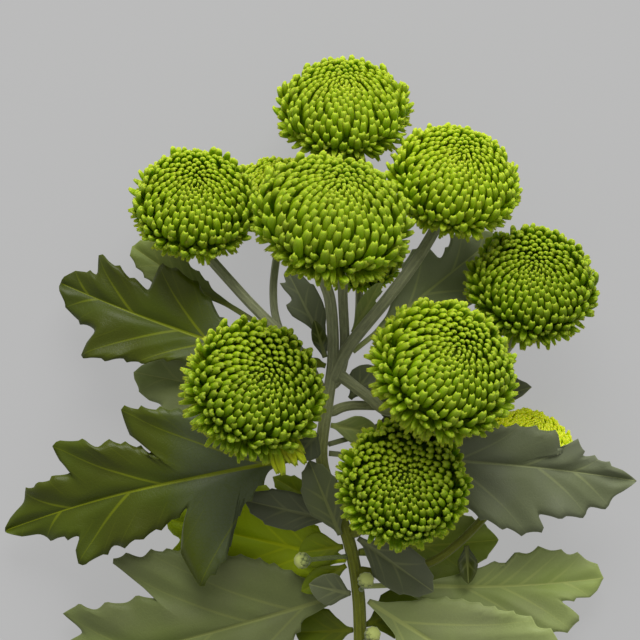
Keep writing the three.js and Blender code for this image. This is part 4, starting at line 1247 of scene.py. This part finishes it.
class SPRAY_OT_stem(bpy.types.Operator):
    """Add the ridged stem and its side stems"""

    bl_idname = "spray.stem"
    bl_label = "Stem"

    def execute(self, context):
        add_stem(context.scene.spray_stem)
        return {"FINISHED"}


# Leaves


def foot_on(stem, wanted):
    """Point of a stem nearest to the wanted foot, its direction and its radius there."""
    line = stem_line(stem, LINE_SAMPLES)
    nearest = int(np.argmin(np.linalg.norm(line - np.array(wanted, float), axis=1)))
    radii = STEMS[stem][1]
    return (line[nearest], tangents_of(line)[nearest],
            radii[0] + (radii[1] - radii[0]) * nearest / (LINE_SAMPLES - 1))


def start_of(stem, wanted, tip, half_width):
    """Where a leaf or bud that points to the tip leaves the skin of its stem."""
    point, along, radius = foot_on(stem, wanted)
    heading = unit(np.array(tip, float) - point)
    lean = abs(heading @ along)
    outward = unit(heading - along * (heading @ along))
    return point + outward * (radius + SEAT_GAP + half_width * lean)


class LeafForm:
    """The arc that a leaf's midrib follows and how its halves are lifted from it."""

    def __init__(self, stem, foot, tip, roll, droop, lift):
        self.start = start_of(stem, foot, tip, LEAF_FOOT)
        chord = np.array(tip, float) - self.start
        self.droop = math.radians(droop)
        reach = math.hypot(chord[0], chord[1])
        self.length = np.linalg.norm(chord) * (self.droop / 2) / math.sin(self.droop / 2)
        self.pitch = math.atan2(chord[2], reach) + self.droop / 2
        self.heading = np.array([chord[0] / reach, chord[1] / reach, 0])
        self.roll = math.radians(roll)
        self.lift = math.radians(lift)

    def place(self, across, along, shift):
        """Points of the mid surface and the way its upper face looks, for arrays in mm, shares."""
        here = self.pitch - self.droop * along
        size = self.length / self.droop
        out = size * (math.sin(self.pitch) - np.sin(here))
        up = size * (np.cos(here) - math.cos(self.pitch))
        centre = self.start + out[..., None] * self.heading + up[..., None] * UP
        level = np.cross(UP, self.heading)
        tangent = np.cos(here)[..., None] * self.heading + np.sin(here)[..., None] * UP
        upright = np.cross(tangent, level)
        side = level * math.cos(self.roll) + upright * math.sin(self.roll)
        normal = upright * math.cos(self.roll) - level * math.sin(self.roll)
        hand = np.sign(across)[..., None]
        distance = np.abs(across)[..., None]
        point = centre + side * (hand * distance * math.cos(self.lift) + shift[..., None])
        point = point + normal * distance * math.sin(self.lift)
        facing = normal * math.cos(self.lift) - side * hand * math.sin(self.lift)
        return point, np.where(hand == 0, normal, facing)


def toothed(outline, corners, length):
    """Cuts small teeth, pointing to the leaf's tip, into the long forward edges of an outline."""
    height = min(1.3, max(0.6, 0.013 * length))
    made = outline.copy()
    for first, last in zip(corners[2:-1], corners[3:]):
        step = outline[last, :2] - outline[first, :2]
        size = np.hypot(*step)
        pieces = last - first
        if step[1] < 0.35 * size or pieces < 4 or outline[last, 1] > 0.93 * length:
            continue
        outward = np.array([step[1], -step[0]]) / size
        teeth = max(1, round(pieces / len(TOOTH)))
        for i in range(1, pieces):
            phase = (i / pieces * teeth) % 1 * len(TOOTH)
            rise = np.interp(phase, range(len(TOOTH) + 1), (*TOOTH, 0.0))
            made[first + i, :2] += outward * height * rise
    made[:, 0] = np.maximum(made[:, 0], 0)
    return made


def fine_outline(name, length, width):
    """The half outline in mm, with rounded notches, and small teeth between its large ones."""
    rough = np.array(HALVES[name], float)
    rough[:, 0] = np.maximum(rough[:, 0] * length * width, 0.8)
    rough[-1, 0] = 0
    rough[:, 1] *= length
    corners, fine = [], []
    for k in range(len(rough) - 1):
        a, b = rough[k], rough[k + 1]
        step = b[:2] - a[:2]
        size = np.hypot(*step)
        pieces = max(2, round(size / 1.2))
        bulge = 0.055 if name == "plain" and 0 < k < 6 else 0.02 * (k > 0)
        outward = np.array([step[1], -step[0]]) / max(size, 1e-9)
        corners.append(len(fine))
        for i in range(pieces):
            share = i / pieces
            point = a + (b - a) * share
            point[:2] += outward * bulge * size * 4 * share * (1 - share)
            fine.append(point)
    corners.append(len(fine))
    fine.append(rough[-1])
    fine = np.array(fine)
    fixed = {0, len(fine) - 1}
    for k in range(1, len(rough) - 1):
        before, after = rough[k, :2] - rough[k - 1, :2], rough[k + 1, :2] - rough[k, :2]
        if before[0] * after[1] - before[1] * after[0] > 0:
            fixed.add(corners[k])
    free = [k for k in range(len(fine)) if k not in fixed]
    for _ in range(2):
        smooth = fine.copy()
        smooth[free, :2] = (fine[np.array(free) - 1, :2] + 2 * fine[free, :2]
                            + fine[np.array(free) + 1, :2]) / 4
        fine = smooth
    fine = toothed(fine, corners, length)
    return fine, corners, sorted(fixed - {0, len(fine) - 1})


def spanned_columns(outline, length, rows, curve):
    """Flat positions in mm from the midrib to each outline point, along curved lines."""
    foot = outline[:, 2] - 0.14 * np.sin(math.pi * np.clip(outline[:, 2], 0, 1)) * curve
    start = np.stack([np.zeros(len(outline)), foot * length], axis=1)
    end = outline[:, :2]
    middle = start + (end - start) * np.array([0.5 - 0.12 * curve, 0.5])
    size = np.maximum(np.linalg.norm(end - start, axis=1), 1e-6)
    even = np.arange(rows) / (rows - 1)
    near = np.array([0, 0.5, 1.0, 1.7])
    shares = np.empty((len(outline), rows))
    for j in range(rows):
        if j < len(near):
            shares[:, j] = np.minimum(near[j] / size, even[j])
        else:
            left = (j - len(near) + 1) / (rows - len(near))
            shares[:, j] = shares[:, len(near) - 1] * (1 - left) + left
    f = shares[..., None]
    return (start[:, None] * (1 - f) ** 2 + 2 * middle[:, None] * f * (1 - f)
            + end[:, None] * f ** 2), shares


def folded_over(flat):
    """Whether any cell of a flat grid of columns and rows has turned over."""
    a, b = flat[:-1, :-1], flat[1:, :-1]
    c, d = flat[1:, 1:], flat[:-1, 1:]
    first, second = c - a, d - b
    area = first[..., 0] * second[..., 1] - first[..., 1] * second[..., 0]
    return (area < -1e-3).any()


def vein_lines(name, length, width):
    """The side veins in mm: slender curves that leave the midrib low and run to the lobes."""
    share = np.linspace(0, 1, 40)[:, None]
    lines = []
    for k in SIDE_VEINS[name]:
        tip = np.array(HALVES[name][k][:2]) * (length * width, length)
        foot = max(0.1 * length, tip[1] - 1.4 * tip[0])
        bend = np.array([0.42 * tip[0], foot + 0.56 * (tip[1] - foot)])
        lines.append(np.array([0, foot]) * (1 - share) ** 2 + 2 * bend * share * (1 - share)
                     + tip * share ** 2)
    return lines


def side_of(flat, line):
    """Distance of each point from a line, positive on its one side and negative on the other."""
    step = np.diff(line, axis=0)
    apart = flat[..., None, :] - line[:-1]
    share = np.clip((apart * step).sum(-1) / (step ** 2).sum(-1), 0, 1)
    distance = np.linalg.norm(apart - share[..., None] * step, axis=-1)
    cross = step[:, 0] * apart[..., 1] - step[:, 1] * apart[..., 0]
    nearest = distance.argmin(-1)[..., None]
    return (np.take_along_axis(distance, nearest, -1)
            * np.sign(np.take_along_axis(cross, nearest, -1)))[..., 0]


def half_blade(name, length, width, rows):
    """A flat half leaf by column and row, with its distances from veins and edge in mm."""
    outline, corners, teeth = fine_outline(name, length, width)
    for curve in (1.0, 0.7, 0.4, 0.2, 0.0):
        flat, shares = spanned_columns(outline, length, rows, curve)
        if not folded_over(flat):
            break
    side_columns = [corners[k] for k in SIDE_VEINS[name]]
    twig_columns = [k for k in teeth if k not in side_columns and k > corners[1]]

    def nearest(columns):
        gaps = [np.linalg.norm(flat - flat[k][None], axis=2) for k in columns]
        return np.min(gaps, axis=0) if gaps else np.full(flat.shape[:2], NO_VEIN)

    sides = [side_of(flat, line) for line in vein_lines(name, length, width)]
    sides += [np.full(flat.shape[:2], NO_VEIN)] * (MOST_VEINS - len(sides))
    size = np.linalg.norm(flat[:, -1] - flat[:, 0], axis=1)[:, None]
    return {
        "flat": flat,
        "reach": shares,
        "side_vein": np.min(np.abs(sides), axis=0),
        "twig_vein": nearest(twig_columns),
        "rim": (1 - shares) * size,
        "sides": sides,
    }


def leaf_relief(half, length, phase):
    """How far the blade swells above its plain form, in mm."""
    flat, reach = half["flat"], half["reach"]
    size = length / 100
    across, along = flat[..., 0], flat[..., 1] / length
    between = 1 - np.exp(-(half["side_vein"] / 3.2) ** 2)
    quilt = between * smooth_step(0, 3.5, across) * smooth_step(0, 3.0, half["rim"] + 0.6)
    wave = 1.3 * np.sin(2 * math.pi * (along * length / 21 + phase)) * reach ** 1.6
    ripple = np.sin(2 * math.pi * (along * length / 8.5 + 2.3 * phase)) * reach ** 3
    blade = smooth_step(0.10, 0.25, along)
    return blade, quilt, wave * size * 0.9 + ripple * size * 0.3


def leaf_half(form, name, number, hand, sheet):
    """Points and values of one half of a leaf, by column and row from the midrib outwards."""
    quilting, rib_depth, thickness, rows = sheet
    width, outline_name = LEAVES[name][3], LEAVES[name][7 if hand > 0 else 8]
    length = form.length
    half = half_blade(outline_name, length, width, rows)
    flat, reach = half["flat"], half["reach"]
    across, along = flat[..., 0], flat[..., 1] / length
    sway = LEAF_SWAY.get(name, 0.0)
    shift = sway * np.sin(math.pi * np.clip(along, 0, 1) ** 1.3) * (1 - reach)
    point, facing = form.place(hand * across, along, shift)
    blade, quilt, waves = leaf_relief(half, length, 0.37 * number + (0.2 if hand > 0 else 0))
    groove = GROOVE_DEPTH * np.exp(-(across / GROOVE_WIDTH) ** 2) * blade
    raised = blade * (quilting * quilt + waves) - groove
    taper = np.minimum(1.0, 0.25 + half["rim"] / 1.2)
    ridge = rib_depth * np.exp(-(across / RIB_WIDTH) ** 2) * np.clip(1 - along, 0, 1)
    small_ridge = RIDGE_DEPTH * np.exp(-(half["side_vein"] / RIDGE_WIDTH) ** 2) * blade * taper
    # The leaf's brightness from foot to tip is partly painted light and shade
    at_foot, at_tip, fresh = LEAF_TONES.get(name, (1.0, 1.0, 1.0))
    values = {
        "rib": across, "twig_vein": half["twig_vein"], "rim": half["rim"], "reach": reach,
        "lengthwise": along, "fresh": np.full(across.shape, fresh),
        "bright": at_foot + (at_tip - at_foot) * along,
        **{f"vein_{k}": side for k, side in enumerate(half["sides"])},
    }
    return {
        "hand": hand,
        "stations": np.maximum.accumulate(np.round(along[:, 0], 6)),
        "upper": point + facing * (raised + thickness / 2 * taper)[..., None],
        "lower": point + facing * (raised - thickness / 2 * taper - ridge
                                   - small_ridge)[..., None],
        "uv": np.stack([hand * across, flat[..., 1]], axis=2) / 10,
        "values": values,
    }


def along_rib(half, stations, values):
    """A half's values on the midrib, read at the stations that both halves share."""
    first = values[:, 0].reshape(len(values), -1)
    read = [np.interp(stations, half["stations"], column) for column in first.T]
    return np.stack(read, axis=1).reshape(len(stations), *values.shape[2:])


def in_order(rib_upper, rib_lower, upper, lower):
    """One half's values point by point: the midrib first, and the upper face first."""
    return np.concatenate([rib_upper, rib_lower, *(
        side[:-1, 1:].reshape(-1, *side.shape[2:]) for side in (upper, lower))])


def half_faces(place, ribs, rows, start, hand):
    """Faces of one half of a leaf, open only where it meets the other half."""
    columns = len(place)
    others = (columns - 1) * (rows - 1)
    at = np.full((columns, rows), start + ribs - 1)
    at[:, 0] = start + place
    at[:-1, 1:] = start + 2 * ribs + np.arange(others).reshape(columns - 1, rows - 1)
    below = at + np.where(at < start + ribs, ribs, others)
    faces = [(*below[0], *at[0, ::-1])]
    for i in range(columns - 1):
        between = list(range(at[i, 0] + 1, at[i + 1, 0]))
        for j in range(rows - 1):
            faces.append((at[i, j], at[i, j + 1], at[i + 1, j + 1], at[i + 1, j],
                          *between[::-1]))
            faces.append((below[i, j], *(k + ribs for k in between), below[i + 1, j],
                          below[i + 1, j + 1], below[i, j + 1]))
            between = []
        faces.append((at[i, -1], below[i, -1], below[i + 1, -1], at[i + 1, -1]))
    faces = [tuple(dict.fromkeys(face)) for face in faces]
    return [face if hand < 0 else face[::-1] for face in faces if len(face) > 2]


def leaf_mesh(halves, rows):
    """Points, faces, pattern places and point values of a leaf whose halves share the midrib."""
    stations = np.unique(np.concatenate([half["stations"] for half in halves]))
    rib_upper, rib_lower = (
        np.mean([along_rib(half, stations, half[side]) for half in halves], axis=0)
        for side in ("upper", "lower"))
    points, faces, uvs, layers = [], [], [], {}
    start = 0
    for half in halves:
        place = np.searchsorted(stations, half["stations"])
        place[0], place[-1] = 0, len(stations) - 1
        faces += half_faces(place, len(stations), rows, start, half["hand"])
        points.append(in_order(rib_upper, rib_lower, half["upper"], half["lower"]))
        uv = along_rib(half, stations, half["uv"])
        uvs.append(in_order(uv, uv + UNDER_SHIFT, half["uv"], half["uv"] + UNDER_SHIFT))
        for key, value in half["values"].items():
            rib = along_rib(half, stations, value)
            layers.setdefault(key, []).append(in_order(rib, rib, value, value))
        ones, flags = np.ones(len(stations)), np.ones(half["upper"].shape[:2])
        layers.setdefault("upper", []).append(in_order(ones, 0 * ones, flags, 0 * flags))
        start += len(points[-1])
    layers = {key: np.concatenate(value) for key, value in layers.items()}
    return np.vstack(points), faces, np.vstack(uvs), layers


def add_leaf(name, number, materials, settings):
    """One leaf with its two halves, as one piece."""
    stem, foot, tip, _, roll, droop, lift, _, _, finish = LEAVES[name]
    slot = "leaf_" + finish
    form = LeafForm(stem, foot, tip, roll, droop, lift)
    length = form.length
    rows = LONG_ROWS if length > LONG_LEAF else SHORT_ROWS
    sheet = (settings.quilting / MM * min(1.0, length / 80), min(1.2, 0.3 + 0.012 * length),
             settings.thickness / MM, rows)
    halves = [leaf_half(form, name, number, hand, sheet) for hand in (1, -1)]
    points, faces, uvs, layers = leaf_mesh(halves, rows)
    points[:, 2] = np.maximum(points[:, 2], FLOOR_GAP)
    piece = mesh_piece("blade_" + name, points, faces, layers, materials[slot], uvs)
    take_place(piece, "leaf_" + name)


class SPRAY_OT_leaves(bpy.types.Operator):
    """Add the lobed and veined leaves"""

    bl_idname = "spray.leaves"
    bl_label = "Leaves"

    def execute(self, context):
        settings = context.scene.spray_leaves
        vein = tuple(settings.vein)
        grey_vein = tuple(c * 0.8 + 0.05 for c in vein)
        materials = {
            "leaf_dark": leaf_material("dark_blade", tuple(settings.dark), vein, 0.45, 0.55,
                                       0.3, 0.02, 0.9),
            "leaf_grey": leaf_material("grey_blade", tuple(settings.grey), grey_vein, 0.6,
                                       0.45, 0.05, 0.08),
            "leaf_fresh": leaf_material("fresh_blade", tuple(settings.fresh),
                                        tuple(c * 1.3 for c in vein), 0.55, 0.65, 0.3, 0.04),
        }
        for number, name in enumerate(LEAVES):
            add_leaf(name, number, materials, settings)
        return {"FINISHED"}


# Buds


def bud_scales(scale, ball, number):
    """Overlapping scales round a bud's ball, whose middle is at this height, and their shades."""
    random = np.random.default_rng(BUD_SEED + number)
    shares = (np.arange(BUD_SCALES) + 0.5) / BUD_SCALES
    feet, outs, ups, lengths = [], [], [], []
    for i, share in enumerate(shares):
        polar = math.radians(140 - 105 * share)
        turn = i * GOLDEN_TURN
        outward = np.array([math.cos(turn), math.sin(turn), 0])
        normal = outward * math.sin(polar) + UP * math.cos(polar)
        up = -outward * math.cos(polar) + UP * math.sin(polar)
        feet.append(normal * 2.35 + UP * ball - up * 0.9)
        outs.append(normal)
        ups.append(up)
        lengths.append(2.7 + 0.4 * random.random())
    points, height = placed_scales(scale, feet, outs, ups, lengths, 1.7 - 0.6 * shares, 0.95)
    return points, 0.25 + 0.45 * np.repeat(shares, len(scale[0])) + 0.35 * height


def add_bud(name, number, scale, material):
    """One closed bud on its stalk, as one piece."""
    stem, foot, tip = BUDS[name]
    start = start_of(stem, foot, tip, BUD_FOOT)
    axis = np.array(tip, float) - start
    length = np.linalg.norm(axis)
    ball = length - BUD_RADIUS
    profile = [
        (0, -0.6), (0.85, -0.6), (0.72, 0.8), (0.7, ball - BUD_RADIUS * 1.1),
        (1.2, ball - BUD_RADIUS * 0.9), (2.1, ball - BUD_RADIUS * 0.55),
        (2.45, ball), (2.1, ball + BUD_RADIUS * 0.5), (1.2, ball + BUD_RADIUS * 0.78),
        (0, ball + BUD_RADIUS * 0.86),
    ]
    points, faces = turned_profile(profile, BUD_SIDES)
    along = smooth_step(ball - 1, ball + 2, points[:, 2]) * 0.9
    scales, shades = bud_scales(scale, ball, number)
    starts = len(points) + np.arange(BUD_SCALES) * len(scale[0])
    faces = faces + copied_faces(starts, scale[1])
    points = np.vstack([points, scales]) @ turn_from_up(axis / length).T + start
    piece = mesh_piece("scales_bud_" + name, points, faces,
                       {"along": np.concatenate([along, shades])}, material)
    take_place(piece, "bud_" + name)


class SPRAY_OT_buds(bpy.types.Operator):
    """Add the three closed buds"""

    bl_idname = "spray.buds"
    bl_label = "Buds"

    def execute(self, context):
        material = bud_material(context.scene.spray_stem)
        scale = scale_model()
        for number, name in enumerate(BUDS):
            add_bud(name, number, scale, material)
        return {"FINISHED"}


# Stage


def floor_material(colour, glow):
    s = Shades("floor")
    grain = s.noise(s.coordinates(), 60.0)
    return s.finish(s.mix(s.step(grain, 0.3, 0.7), tuple(c * 0.99 for c in colour),
                          tuple(colour)), 0.85, Specular_IOR_Level=0.1,
                    Emission_Color=(1.0, 1.0, 1.0), Emission_Strength=glow)


def add_light(name, place, target, size, power):
    """A soft round light that looks at its target."""
    lamp = bpy.data.lights.new(name, "AREA")
    lamp.shape = "DISK"
    lamp.size = size
    lamp.energy = power
    item = bpy.data.objects.new(name, lamp)
    bpy.context.scene.collection.objects.link(item)
    item.location = place
    item.rotation_euler = (Vector(target) - Vector(place)).to_track_quat("-Z", "Y").to_euler()


class SPRAY_OT_stage(bpy.types.Operator):
    """Add the floor, the soft lights and the camera"""

    bl_idname = "spray.stage"
    bl_label = "Stage"

    def execute(self, context):
        settings = context.scene.spray_stage
        scene = context.scene
        deselect_everything()
        bpy.ops.mesh.primitive_plane_add(size=FLOOR_SIZE, location=(0, 0, -FLOOR_DROP))
        floor = context.object
        floor.name = "floor"
        floor.data.materials.append(
            floor_material(tuple(settings.floor), settings.floor_glow))
        add_light("key", KEY_PLACE, KEY_TARGET, KEY_WIDTH, settings.key_power)
        world = bpy.data.worlds.new("studio")
        world.use_nodes = True
        background = world.node_tree.nodes["Background"]
        background.inputs["Color"].default_value = (1, 1, 1, 1)
        background.inputs["Strength"].default_value = settings.surround
        scene.world = world
        scene.view_settings.view_transform = "Standard"
        lens = bpy.data.cameras.new("camera")
        lens.lens = settings.lens
        lens.sensor_width = SENSOR
        lens.clip_end = FARTHEST
        camera = bpy.data.objects.new("camera", lens)
        scene.collection.objects.link(camera)
        camera.location = (SHIFT[0] * MM, SHIFT[1] * MM, settings.camera_height)
        scene.camera = camera
        return {"FINISHED"}


# Add-on


class SPRAY_PT_panel(bpy.types.Panel):
    """Sizes and colours of the spray, and the steps that build it"""

    bl_label = "Spray"
    bl_idname = "SPRAY_PT_panel"
    bl_space_type = "VIEW_3D"
    bl_region_type = "UI"
    bl_category = "Spray"

    def draw(self, context):
        for settings, operators in (
            (context.scene.spray_heads, ("spray.heads",)),
            (context.scene.spray_leaves, ("spray.leaves",)),
            (context.scene.spray_stem, ("spray.stem", "spray.calyxes", "spray.buds")),
            (context.scene.spray_stage, ("spray.stage",)),
        ):
            box = self.layout.box()
            for key in settings.bl_rna.properties.keys():
                if key not in ("rna_type", "name"):
                    box.prop(settings, key)
            for operator in operators:
                box.operator(operator)


SETTINGS = {
    "spray_heads": SprayHeadSettings,
    "spray_leaves": SprayLeafSettings,
    "spray_stem": SprayStemSettings,
    "spray_stage": SprayStageSettings,
}
OPERATORS = (SPRAY_OT_heads, SPRAY_OT_calyxes, SPRAY_OT_stem, SPRAY_OT_leaves, SPRAY_OT_buds,
             SPRAY_OT_stage)


def register():
    for item in (*SETTINGS.values(), *OPERATORS, SPRAY_PT_panel):
        bpy.utils.register_class(item)
    for name, settings in SETTINGS.items():
        setattr(bpy.types.Scene, name, bpy.props.PointerProperty(type=settings))


def unregister():
    for name in SETTINGS:
        delattr(bpy.types.Scene, name)
    for item in (SPRAY_PT_panel, *reversed(OPERATORS), *reversed(SETTINGS.values())):
        bpy.utils.unregister_class(item)


def main():
    register()
    bpy.ops.spray.stage()
    bpy.ops.spray.heads()
    bpy.ops.spray.calyxes()
    bpy.ops.spray.stem()
    bpy.ops.spray.leaves()
    bpy.ops.spray.buds()


if __name__ == "__main__":
    main()
